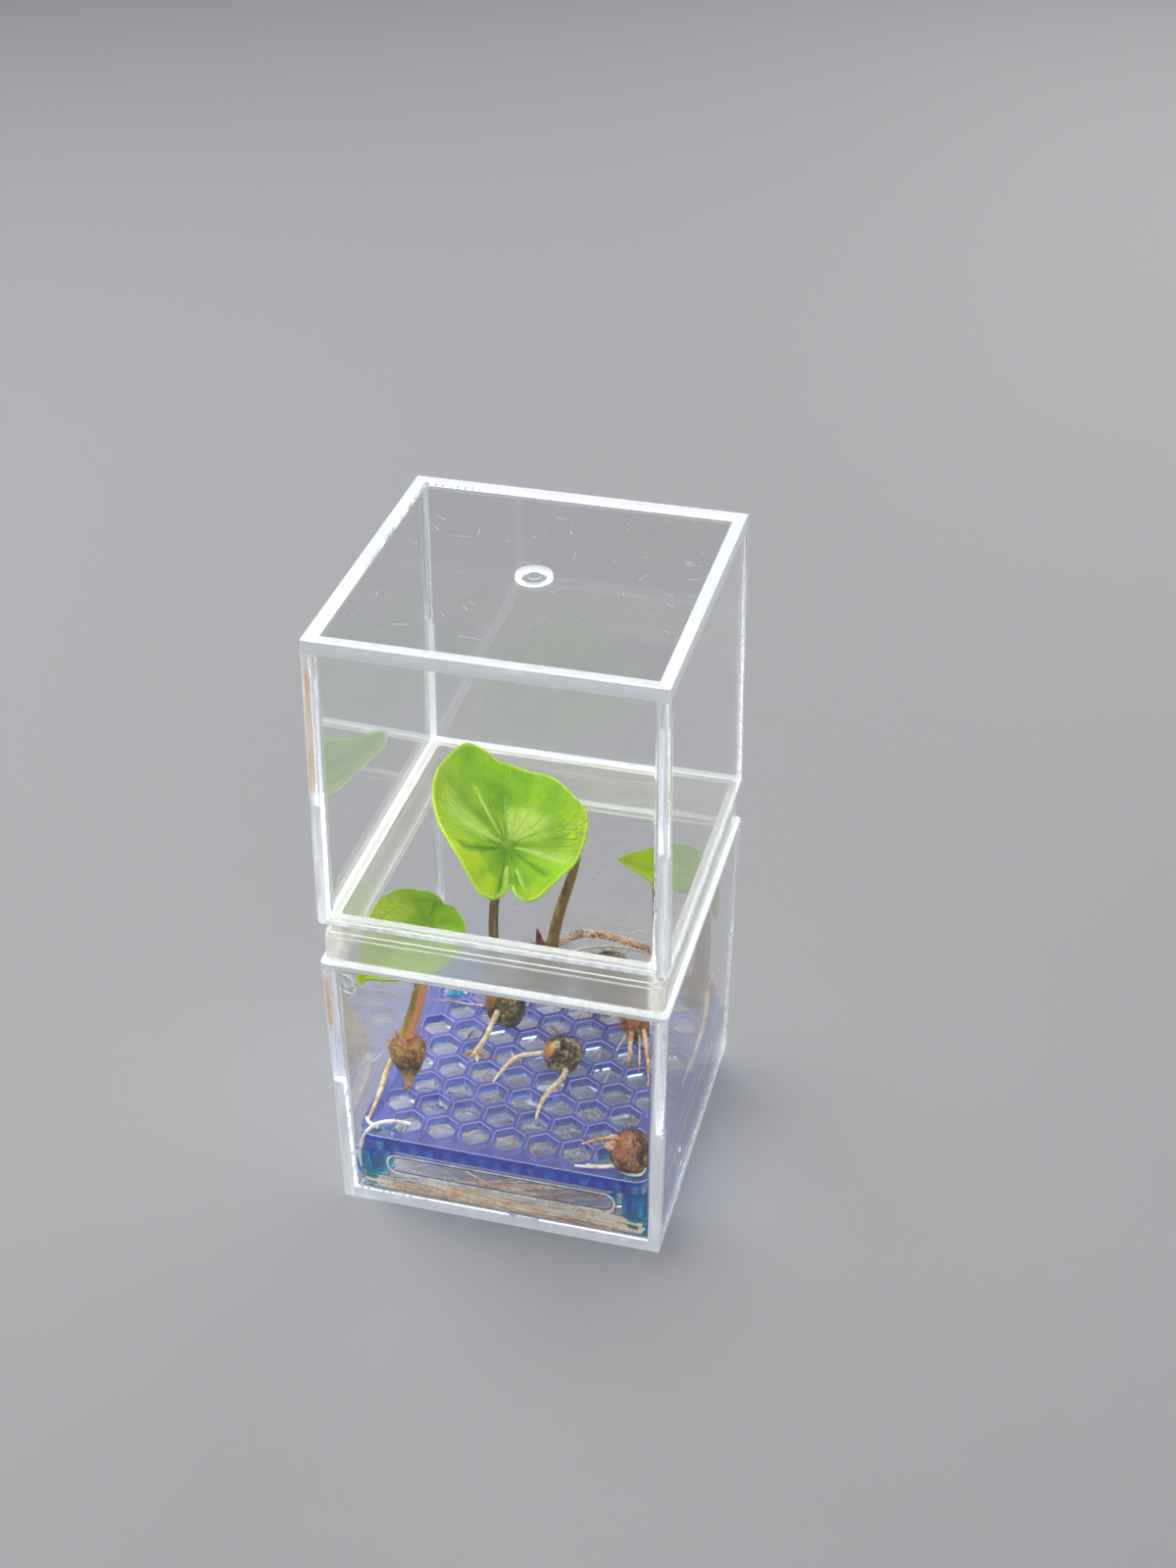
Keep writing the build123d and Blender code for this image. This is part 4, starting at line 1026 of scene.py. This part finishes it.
# Roots on the tray, along the back wall, through the honeycomb and on the floor
rootLooks = {
    "frontLeftRootStrands": {
        "node": "front_left_roots", "skins": ["creamRoot", "whiteRoot"],
        "strands": [
            ([(-19.9, -8.8, 17.6, 0.5), (-21.4, -9.2, 16.2, 0.5), (-21.9, -10.8, 14.9, 0.5),
              (-21.9, -13.4, 13.3, 0.48), (-21.8, -17.4, 12.95, 0.34), (-21.8, -20.6, 12.75, 0.18)], 0),
            ([(-19.8, -9.8, 14.6, 0.3), (-21.2, -9, 13.6, 0.25), (-21.9, -7, 12.9, 0.18),
              (-22, -4, 12.7, 0.1)], 1),
        ],
    },
    "bigLeafRootStrands": {
        "node": "big_leaf_roots", "skins": ["creamRoot", "orangeRoot"],
        "strands": [
            ([(-8.5, 7.2, 16.7, 0.6), (-8.8, 5.2, 16, 0.52), (-9.1, 2.6, 15, 0.46), (-9.6, 0.4, 13.9, 0.44),
              (-10.4, -1.5, 13, 0.5), (-10.8, -2.3, 12.7, 0.3)], 0),
            ([(-10.2, -1.2, 13, 0.42), (-11.2, -1.6, 12.8, 0.3), (-12.3, -2.2, 12.7, 0.15)], 1),
            ([(-10.3, -1.4, 13, 0.4), (-10, -2.2, 12.8, 0.3), (-9.6, -3, 12.6, 0.16)], 0),
            ([(-10, -1, 13, 0.3), (-9.2, -1.6, 12.8, 0.22), (-8.4, -2, 12.6, 0.12)], 1),
            ([(-9.8, 8.2, 14.6, 0.24), (-12.6, 9.6, 13.4, 0.18), (-16.4, 9.8, 12.8, 0.14),
              (-18.8, 9.8, 13.2, 0.14), (-21, 8.2, 13.9, 0.09)], 0),
        ],
    },
    "rightRootStrands": {
        "node": "right_roots", "skins": ["creamRoot", "whiteRoot"],
        "strands": [
            ([(20.7, 18.6, 16.8, 0.4), (21.5, 17, 16.6, 0.38), (21.9, 14, 14.4, 0.36),
              (21.8, 10, 12.9, 0.32), (21.6, 5, 12.7, 0.2), (21.4, -1, 12.65, 0.1)], 0),
            ([(21.4, 18.2, 15, 0.22), (21.9, 15, 13.4, 0.18), (21.9, 8, 12.7, 0.14), (21.9, 2, 12.6, 0.08)],
             1),
            ([(20.6, 17.2, 15.4, 0.2), (21.3, 18.4, 17.6, 0.14), (21.8, 20, 18.8, 0.1),
              (21.3, 21.4, 17.4, 0.08)], 1),
        ],
    },
    "centreRootStrands": {
        "node": "centre_roots", "skins": ["creamRoot", "whiteRoot"],
        "strands": [
            ([(1.4, -0.6, 14.9, 0.42), (-0.8, -1.1, 14.5, 0.4), (-3.2, -1.4, 14.1, 0.36),
              (-4.5, -2.9, 13.4, 0.33), (-5.3, -5, 12.9, 0.3), (-5.9, -6.9, 12.4, 0.18)], 0),
            ([(4.8, -2.6, 14.4, 0.5), (5.3, -4.6, 14.2, 0.48), (4.2, -6.6, 13.8, 0.45), (3, -8.8, 13.3, 0.4),
              (2.7, -11, 12.8, 0.33), (2.8, -12.9, 12.1, 0.2)], 0),
        ],
    },
    "frontRightRootStrands": {
        "node": "front_right_roots", "skins": ["whiteRoot", "orangeRoot"],
        "strands": [
            ([(19.2, -20.8, 13.9, 0.3), (17, -21.4, 13.1, 0.32), (14.3, -21.9, 12.8, 0.3),
              (11.4, -22.1, 12.75, 0.18)], 0),
            ([(18.4, -21.2, 13.4, 0.18), (15.8, -21.5, 13, 0.16), (13, -21.4, 12.8, 0.1)], 0),
            ([(19.2, -21.4, 13.9, 0.14), (20.2, -22, 12.9, 0.14), (19.6, -22.1, 12.8, 0.13),
              (18.8, -21.8, 13.3, 0.12)], 0),
            ([(22.1, -20.2, 14.4, 0.14), (22.1, -21.4, 13.4, 0.2), (21.4, -22, 12.85, 0.24),
              (19.8, -22.1, 12.85, 0.22), (18.2, -21.9, 13.1, 0.14)], 0),
            ([(17.4, -17.6, 15.7, 0.36), (15.3, -17.6, 15.3, 0.3), (13.4, -17.7, 14.5, 0.24),
              (11.4, -17.9, 13.3, 0.12)], 1),
        ],
    },
    "redCormRootStrands": {
        "node": "red_corm_roots", "skins": ["creamRoot", "orangeRoot", "whiteRoot"],
        "strands": [
            ([(12.6, 8.6, 14.6, 0.42), (12.9, 7.2, 14, 0.4), (13.2, 5.4, 13.4, 0.38), (13.5, 3.4, 12.9, 0.3),
              (13.7, 2.2, 12.6, 0.16)], 1),
            ([(14.6, 8.6, 14.8, 0.38), (15.3, 6.8, 14.4, 0.36), (16.3, 4, 13.6, 0.34),
              (17.4, 0.6, 12.9, 0.26), (18.1, -2.4, 12.6, 0.14)], 1),
            ([(14, 8.2, 14, 0.22), (14.6, 6, 13.2, 0.2), (15.4, 3, 12.8, 0.14), (15.6, 1, 12.6, 0.08)], 0),
            ([(12, 8.8, 13.6, 0.16), (11.4, 7, 12.9, 0.14), (11, 5, 12.6, 0.08)], 2),
        ],
    },
    "trayEdgeRootStrands": {
        "node": "tray_edge_roots", "skins": ["whiteRoot"],
        "strands": [
            ([(-15.2, -19.5, 12.65, 0.28), (-17.4, -19.7, 13, 0.34), (-19.6, -20.7, 13.3, 0.34),
              (-21.2, -22.1, 12.9, 0.3), (-22.2, -22.95, 11, 0.2), (-22.3, -23.1, 8, 0.14)], 0),
            ([(-19.8, -21.4, 12.7, 0.3), (-21.2, -21.6, 13.2, 0.34), (-22.1, -20.6, 13, 0.26),
              (-22.3, -19.6, 12.7, 0.16)], 0),
        ],
    },
    "backWallRootStrands": {
        "node": "back_wall_root", "skins": ["salmonRoot", "paleFibre"],
        "strands": [
            ([(-2.2, 19.6, 20.6, 0.45), (0.8, 21, 22.7, 0.6), (6, 21.4, 22.5, 0.66), (12, 21.3, 21.3, 0.58),
              (17.8, 20.6, 19.4, 0.46)], 0),
            ([(-1, 20.2, 18.6, 0.2), (4, 21.4, 20.2, 0.2), (9, 21.6, 20.5, 0.18), (14, 21.4, 19.8, 0.16),
              (18.4, 20.8, 18, 0.12)], 1),
            ([(8.6, 21.2, 22.4, 0.12), (9.6, 21, 24.2, 0.11), (11.4, 21.2, 25, 0.1), (12.4, 21.2, 24, 0.1),
              (11.4, 21.2, 22.6, 0.07)], 1),
            ([(11, 21.2, 21.6, 0.12), (12.6, 21, 23.6, 0.1), (14.8, 21.2, 23, 0.1), (16, 21.2, 20.8, 0.06)],
             1),
        ],
    },
    "hangingRootStrands": {
        "node": "hanging_roots", "skins": ["creamRoot", "orangeRoot"],
        "strands": [
            ([(-13.4, 8, 9.6, 0.34), (-14, 8.2, 7.6, 0.32), (-14.6, 7.4, 5.4, 0.28), (-15, 6.4, 3, 0.18)], 0),
            ([(-2.7, 12.4, 9.6, 0.34), (-2.2, 12.6, 7.4, 0.3), (-1.4, 13.4, 5.2, 0.26), (-1.1, 14, 3, 0.18)],
             1),
            ([(8, 6.2, 9.6, 0.34), (7.6, 6, 7.6, 0.3), (6.8, 5.2, 5.4, 0.26), (6.4, 4.6, 3, 0.18)], 0),
            ([(13.4, 15.4, 9.6, 0.34), (14, 15.6, 7.6, 0.3), (14.6, 16.4, 5.2, 0.26), (15, 17, 3, 0.18)], 1),
            ([(-8, 3.1, 9.6, 0.34), (-8.6, 3, 7.6, 0.3), (-9.4, 2.2, 5.2, 0.26), (-9.6, 1.5, 3, 0.18)], 0),
            ([(2.8, -16.4, 9.3, 0.2), (5, -17.4, 7.6, 0.34), (9.6, -18.4, 5.6, 0.36), (15, -19.2, 3.2, 0.22)],
             1),
            ([(-4, -16.8, 9.2, 0.2), (-6.4, -17.6, 8.8, 0.3), (-8.4, -18.4, 6.4, 0.3),
              (-10.4, -19, 3.4, 0.2)], 0),
            ([(-12.2, -16.6, 9.3, 0.16), (-14.2, -17.8, 7.6, 0.24), (-16.6, -18.6, 5.2, 0.26),
              (-18, -17, 3, 0.14)], 1),
            ([(9, -17, 8.8, 0.14), (7.2, -17.6, 7, 0.22), (6.8, -18.4, 5, 0.18), (5.4, -19.2, 3, 0.1)], 0),
        ],
    },
}


def fuzz(chance, route, count, length, spread):
    hairs = []
    for _ in range(count):
        place = chance.uniform(0, len(route) - 1.001)
        step, rest = int(place), place % 1
        start = Vector(route[step][:3]).lerp(Vector(route[step + 1][:3]), rest)
        aim = Vector((chance.uniform(-1, 1), -abs(chance.uniform(0, spread)), chance.uniform(-0.3, 1.4)))
        reach = length * chance.uniform(0.4, 1.1)
        curl = Vector((chance.uniform(-1, 1), 0, chance.uniform(-0.8, 0.2))) * reach * 0.6
        points = []
        for part in (0, 0.4, 0.75, 1):
            place = start + aim.normalized() * reach * part + curl * part * part
            points.append((*keepIn(*place), 0.085 * (1 - 0.6 * part)))
        hairs.append((points, 0))
    return hairs


def makeRoots():
    for name, look in rootLooks.items():
        roots = drawStrands(name, look["strands"], look["skins"], sides=4, steps=8)
        roughen(roots, depth=0.045, scale=1300)
        finishPiece(roots, "tray", replaced=[look["node"]])
    wallRoute = rootLooks["backWallRootStrands"]["strands"][0][0]
    hairs = fuzz(random.Random(4), wallRoute, count=420, length=1.6, spread=0.9)
    wallFuzz = drawStrands("backWallRootFuzz", hairs, ["paleFibre"], sides=0, steps=3)
    finishPiece(wallFuzz, "tray", smoothAngle=40)
    curls = [
        [(9.4, 14.2, 20.6, 0.12), (11.2, 13.4, 20.9, 0.11), (12.6, 13.6, 19.6, 0.1),
         (12.2, 14.4, 18.8, 0.07)],
        [(10.2, 15.4, 21.2, 0.1), (11, 14.8, 22.2, 0.09), (12.4, 15.2, 22, 0.08), (12.8, 15.8, 20.8, 0.05)],
        [(-7.6, 9.6, 18.8, 0.14), (-6.4, 9, 19.9, 0.13), (-5, 9.4, 20.2, 0.12), (-4.4, 10.2, 19.6, 0.08)],
    ]
    ends = drawStrands("whiteRootCurls", [(curl, 0) for curl in curls], ["whiteRoot"], steps=6)
    finishPiece(ends, "tray", smoothAngle=40)


matLook = {
    "strands": 160, "shortest": 7, "longest": 25, "thinnest": 0.05, "thickest": 0.20, "joints": 6,
    "sheets": 22, "sheetThick": 0.55,  # broad roots against the front wall
    "nearFront": 0.60, "frontHeight": 4.5, "frontBand": (-22.4, -21.8),
    "reach": 21.9, "frontReach": 22.5, "legClear": 2.45,
}
legCentre = trayHalf / mm - legInset - legRadius


def awayFromLegs(x, y):
    clear, reach = matLook["legClear"], matLook["reach"]
    for side in (-1, 1):
        for end in (-1, 1):
            off = Vector((x - side * legCentre, y - end * legCentre))
            if off.length < clear:
                off = off.normalized() * clear if off.length else Vector((-side * clear, 0))
                x, y = side * legCentre + off.x, end * legCentre + off.y
    return within(x, -reach, reach), within(y, -matLook["frontReach"], reach)


def makeRootMat():
    look, chance, strands = matLook, random.Random(12), []
    lowest, joints = matLow.z / mm + 0.1, look["joints"]
    for number in range(look["strands"] + look["sheets"]):
        sheet = number < look["sheets"]
        x = chance.uniform(-21, 21)
        atFront = sheet or chance.random() < look["nearFront"]
        y = chance.uniform(*look["frontBand"]) if atFront else chance.uniform(-20, 21)
        length = chance.uniform(look["shortest"], look["longest"])
        heading = chance.gauss(0, 0.06 if atFront else 0.7) + (math.pi if chance.random() < 0.5 else 0)
        thick = look["sheetThick"]
        if not sheet:
            thick = look["thinnest"] + (look["thickest"] - look["thinnest"]) * chance.random() ** 2
        highest = look["frontHeight"] if atFront else matHigh.z / mm - 0.05
        level = chance.uniform(lowest + thick, highest - thick)
        climb = chance.gauss(0, 0.22)
        points = []
        for step in range(joints + 1):
            z = level + climb * (step - joints / 2) + chance.uniform(-0.2, 0.2)
            z = within(z, lowest + thick, highest - thick)
            points.append((*awayFromLegs(x, y), z, thick * (1 if 0 < step < joints else 0.4)))
            heading += chance.gauss(0, 0.05 if sheet else 0.12 if atFront else 0.25)
            x += math.cos(heading) * length / joints
            y += math.sin(heading) * length / joints
        strands.append((points, chance.choice((0, 0, 0, 0, 1, 2) if atFront else (0, 0, 0, 1, 1, 2))))
    mat = drawStrands("floorRootMat", strands, ["strawRoot", "orangeRoot", "whiteRoot"], sides=0, steps=2)
    finishPiece(mat, "tray", replaced=["root_mat"], smoothAngle=40)


makeRoots()
makeRootMat()
print("roots made")


# Water: a pool under the tray with an air bubble at the front wall, and a plug in each hole that rides with
# the tray. All lengths are in mm
poolLook = {"top": 9.65, "gap": 0.05, "corner": 0.3}
bubbleLook = {
    "left": -18.3, "right": 18.0, "low": 5.1, "high": 9.4, "back": -7.0, "round": 1.9,
    "lines": ((0.24, 0.21), (0.66, 0.09)),  # a painted highlight line and a painted shade line: how far inside the outline, and how thick
    "lineDepth": 0.26,
}
plugLook = {"low": 9.68, "edge": 10.95, "dip": 0.42, "gap": 0.04, "step": 0.36, "dips": (0.6, 0.3, 0.1)}
dropLook = {"sink": 0.5, "flat": (1, 0.45, 1.15), "glintDepth": 0.15}
dropPlaces = [  # x, height and radius of each drop on the front wall
    (-21.9, 42.6, 0.9), (-22.6, 41.2, 0.7), (-21.3, 40.6, 0.6), (-22.9, 43.3, 0.45), (-20.7, 42.0, 0.35),
    (-21.9, 39.6, 0.4), (-17.2, 41.3, 0.25), (-12.0, 43.2, 0.22), (-19.0, 36.0, 0.18), (6.0, 42.8, 0.2),
]
dropGlints = [  # x, height and thickness along each bright edge of the drops
    [(-22.9, 43.6, 0.05), (-22.3, 43.9, 0.14), (-21.5, 43.2, 0.16), (-21.0, 42.2, 0.06)],
    [(-22.9, 40.9, 0.05), (-22.4, 40.3, 0.15), (-21.6, 40.1, 0.10), (-21.0, 40.4, 0.05)],
    [(-22.9, 42.6, 0.06), (-22.7, 41.8, 0.18), (-22.2, 41.2, 0.08)],
    [(-21.6, 42.2, 0.05), (-21.1, 41.6, 0.14), (-20.5, 41.5, 0.05)],
    [(-20.4, 42.8, 0.04), (-20.0, 42.3, 0.09), (-20.1, 41.8, 0.04)],
]
beadLook = {"count": 46, "first": -23.4, "pitch": 1.04, "front": -24.75, "rise": 0.3, "flat": (1.3, 0.9, 0.7)}


def wallInside(height):
    return boxHalf - wall + height * boxLean


def roundedBlock(name, low, high, corner, allEdges=False):
    low, high = Vector(low), Vector(high)
    block = newObject(bpy.ops.mesh.primitive_cube_add, name, size=1, location=(low + high) / 2 * mm)
    block.scale = (high - low) * mm
    bpy.ops.object.transform_apply(location=True, rotation=True, scale=True)
    bpy.ops.object.mode_set(mode="EDIT")
    bpy.ops.mesh.select_all(action="DESELECT")
    objectMode()
    for edge in block.data.edges:
        a, b = (block.data.vertices[n].co for n in edge.vertices)
        edge.select = allEdges or abs(a.z - b.z) > mm
    bpy.ops.object.mode_set(mode="EDIT")
    bpy.ops.mesh.select_mode(type="EDGE")
    bpy.ops.mesh.bevel(offset=corner * mm, segments=6, affect="EDGES")
    objectMode()
    return block


def makePool():
    bubble, gap, high = bubbleLook, poolLook["gap"], poolLook["top"]
    low = floorTop / mm + gap
    half = wallInside(low) - gap
    pool = roundedBlock("waterPool", (-half, -half, low), (half, half, high), poolLook["corner"])
    spread = (wallInside(high) - gap) / half
    for vertex in pool.data.vertices:
        if vertex.co.z > high * mm * 0.9:
            vertex.co.x *= spread
            vertex.co.y *= spread
    front = -wallInside(7) - 2 * bubble["round"]
    nearest = (bubble["left"], front, bubble["low"])
    farthest = (bubble["right"], bubble["back"], bubble["high"])
    air = roundedBlock("airBubble", nearest, farthest, bubble["round"], allEdges=True)
    addModifier(pool, "BOOLEAN", operation="DIFFERENCE", object=air, solver="EXACT")
    bpy.data.objects.remove(air)
    finishPiece(pool, "base", [water], smoothAngle=30)


def bubbleOutline(inset, thick):
    bubble = bubbleLook
    low, high = bubble["low"] + inset, bubble["high"] - inset
    left, right = bubble["left"] + inset, bubble["right"] - inset
    corner = bubble["round"] - inset
    outline = []
    for x, z, start in ((right, high, 0), (left, high, 90), (left, low, 180), (right, low, 270)):
        middle = Vector((x - math.copysign(corner, x), z - corner if z == high else z + corner))
        for turn in range(0, 91, 30):
            angle = math.radians(start + turn)
            outline.append(middle + corner * Vector((math.cos(angle), math.sin(angle))))
    points = []
    for place, onwards in zip(outline, outline[1:] + outline[:1]):
        for part in (0, 0.5):
            x, z = place.lerp(onwards, part)
            points.append((x, bubble["lineDepth"] - wallInside(z), z, thick))
    return points + points[:1]


# Painted highlight and painted shade: a pale and a dark strand round the air bubble's outline
def makeBubbleLightLines():
    lines = [(bubbleOutline(*line), number) for number, line in enumerate(bubbleLook["lines"])]
    finishPiece(drawStrands("bubbleHighlightAndShadeLines", lines, ["waterHighlight", "waterShade"]), "base")


def holeCentres():
    rowPitch = cellPitch * math.sqrt(3) / 2
    reachX = trayHalf / mm - plateBorder - cellWidth / 2
    reachY = trayHalf / mm - plateBorder - cellWidth / math.sqrt(3)
    for row in range(-6, 7):
        for cell in range(-6, 7):
            x, y = cell * cellPitch + (cellPitch / 2 if row % 2 else 0), row * rowPitch
            if abs(x) <= reachX and abs(y) <= reachY:
                yield x, y


def makePlugs():
    look = plugLook
    radius = (cellWidth / 2 - look["gap"]) * 2 / math.sqrt(3)
    depth = look["edge"] - look["low"]
    deselectAll()
    bpy.ops.mesh.primitive_cylinder_add(vertices=6, radius=radius * mm, depth=depth * mm)
    first = bpy.context.object
    middle = max(first.data.polygons, key=lambda face: face.center.z).index
    for part in look["dips"]:  # the surface sinks from the hole's edge to its middle, in three steps
        pick(first)
        for face in first.data.polygons:
            face.select = face.index == middle
        bpy.ops.object.mode_set(mode="EDIT")
        bpy.ops.mesh.select_mode(type="FACE")
        bpy.ops.mesh.inset(thickness=look["step"] * mm, depth=0)
        bpy.ops.transform.translate(value=(0, 0, -look["dip"] * part * mm))
        objectMode()
        middle = next(face.index for face in first.data.polygons if face.select)
    plugs = []
    for x, y in holeCentres():
        plug = first.copy()
        plug.data = first.data.copy()
        bpy.context.scene.collection.objects.link(plug)
        plug.location = Vector((x, y, look["low"] + depth / 2)) * mm
        plugs.append(plug)
    bpy.data.objects.remove(first)
    finishPiece(joinAll(plugs, "waterPlugs"), "tray", [water], smoothAngle=30)


def addDrop(place, radius, flat):
    deselectAll()
    bpy.ops.mesh.primitive_uv_sphere_add(
        segments=20, ring_count=12, radius=radius * mm, location=Vector(place) * mm)
    drop = bpy.context.object
    drop.scale = flat
    for vertex in drop.data.vertices:
        vertex.co *= 1 + 0.15 * noise.noise(Vector(place) + vertex.co.normalized() * 1.3)
    return drop


def makeDrops():
    look, drops = dropLook, []
    for x, height, radius in dropPlaces:
        drops.append(addDrop((x, -wallInside(height) + radius * look["sink"], height), radius, look["flat"]))
    finishPiece(joinAll(drops, "wallDrops"), "base", [water])
    glints = []
    for line in dropGlints:
        glints.append(([(x, look["glintDepth"] - wallInside(z), z, thick) for x, z, thick in line], 0))
    finishPiece(drawStrands("dropGlints", glints, ["waterHighlight"]), "base", smoothAngle=40)
    look, chance, beads = beadLook, random.Random(9), []
    for number in range(look["count"]):
        x = look["first"] + number * look["pitch"] + chance.uniform(-0.4, 0.4)
        radius = chance.uniform(0.09, 0.26)
        beads.append(addDrop((x, look["front"], boxHigh.z / mm + look["rise"]), radius, look["flat"]))
    finishPiece(joinAll(beads, "ringBeads"), "ring", [water])


makePool()
makeBubbleLightLines()
makePlugs()
makeDrops()
print("water made")


# Fine scratches on the lid
scuffLook = {"marks": 90, "reach": 22, "shortest": 0.15, "longest": 3.4, "thick": 0.05, "gateClear": 3.2}


def makeScuffs():
    look, chance, marks = scuffLook, random.Random(31), []
    reach = look["reach"]
    for _ in range(look["marks"]):
        x, y = chance.uniform(-reach, reach), chance.uniform(-reach, reach)
        if math.hypot(x, y) < look["gateClear"]:
            continue
        length = look["longest"] * chance.random() ** 2.5 + look["shortest"]
        heading = chance.uniform(0, math.pi)
        thick = look["thick"] * chance.uniform(0.6, 1.5)
        points = []
        for step in range(4):
            points.append((x, y, lidHigh.z / mm, thick * (1 if step < 3 else 0.4)))
            heading += chance.gauss(0, 0.35)
            x += math.cos(heading) * length / 3
            y += math.sin(heading) * length / 3
        marks.append((points, 0))
    scuffs = drawStrands("lidScuffs", marks, ["scuff"], sides=0, steps=2)
    finishPiece(scuffs, "lid", smoothAngle=40)


makeScuffs()
print("scuffs made")


# Floor, lights and camera
stageLook = {
    "floorSide": 3.0, "gap": 0.05 * mm, "floorColour": (0.38, 0.38, 0.39), "floorRoughness": 0.6,
    "worldColour": (0.82, 0.86, 0.92), "worldStrength": 0.20, "lampAim": (0, 0, 0.05),
}
lamps = [
    {"name": "overheadSoftbox", "place": (-0.42, 0.18, 0.68), "size": 0.55, "power": 5.2},
    {"name": "frontFill", "place": (0.35, -0.60, 0.42), "size": 0.5, "power": 1.5},
    {"name": "backRim", "place": (0.20, 0.65, 0.40), "size": 0.5, "power": 1.8},
]
photoCamera = {
    "place": (0.07795, -0.26716, 0.25173), "yaw": -14.755, "pitch": -33.925, "roll": -0.153,
    "lens": 52.73, "sensorHeight": 36.0,
}


def makeStage():
    look = stageLook
    ground = newObject(
        bpy.ops.mesh.primitive_plane_add, "paleFloor", size=look["floorSide"], location=(0, 0, -look["gap"]))
    material, tree = newMaterial("paleFloor")
    dress(tree, {"Base Color": look["floorColour"], "Roughness": look["floorRoughness"]})
    ground.data.materials.append(material)
    world = bpy.data.worlds.new("softSky")
    bpy.context.scene.world = world
    world.use_nodes = True
    sky = world.node_tree.nodes["Background"]
    sky.inputs["Color"].default_value = (*look["worldColour"], 1)
    sky.inputs["Strength"].default_value = look["worldStrength"]
    for lamp in lamps:
        bpy.ops.object.light_add(type="AREA", location=lamp["place"])
        light = bpy.context.object
        light.name = lamp["name"]
        light.data.size = lamp["size"]
        light.data.energy = lamp["power"]
        aim = Vector(look["lampAim"]) - Vector(lamp["place"])
        light.rotation_euler = aim.to_track_quat("-Z", "Y").to_euler()


def makeCamera():
    look = photoCamera
    yaw, pitch, roll = (math.radians(look[key]) for key in ("yaw", "pitch", "roll"))
    ahead = Vector((math.sin(yaw) * math.cos(pitch), math.cos(yaw) * math.cos(pitch), math.sin(pitch)))
    level = Vector((math.cos(yaw), -math.sin(yaw), 0))
    upright = level.cross(ahead)
    right = level * math.cos(roll) + upright * math.sin(roll)
    up = upright * math.cos(roll) - level * math.sin(roll)
    bpy.ops.object.camera_add()
    camera = bpy.context.object
    camera.name = "photoCamera"
    turn = Matrix((right, up, -ahead)).transposed().to_4x4()
    camera.matrix_world = Matrix.Translation(Vector(look["place"])) @ turn
    camera.data.sensor_fit = "VERTICAL"
    camera.data.sensor_height = look["sensorHeight"]
    camera.data.lens = look["lens"]
    camera.data.clip_start = 0.01
    bpy.context.scene.camera = camera


makeStage()
makeCamera()
bpy.context.scene.view_settings.view_transform = "Standard"
cycles = bpy.context.scene.cycles
cycles.max_bounces = cycles.glossy_bounces = cycles.transmission_bounces = 40
cycles.transparent_max_bounces = 32
print("stage made")
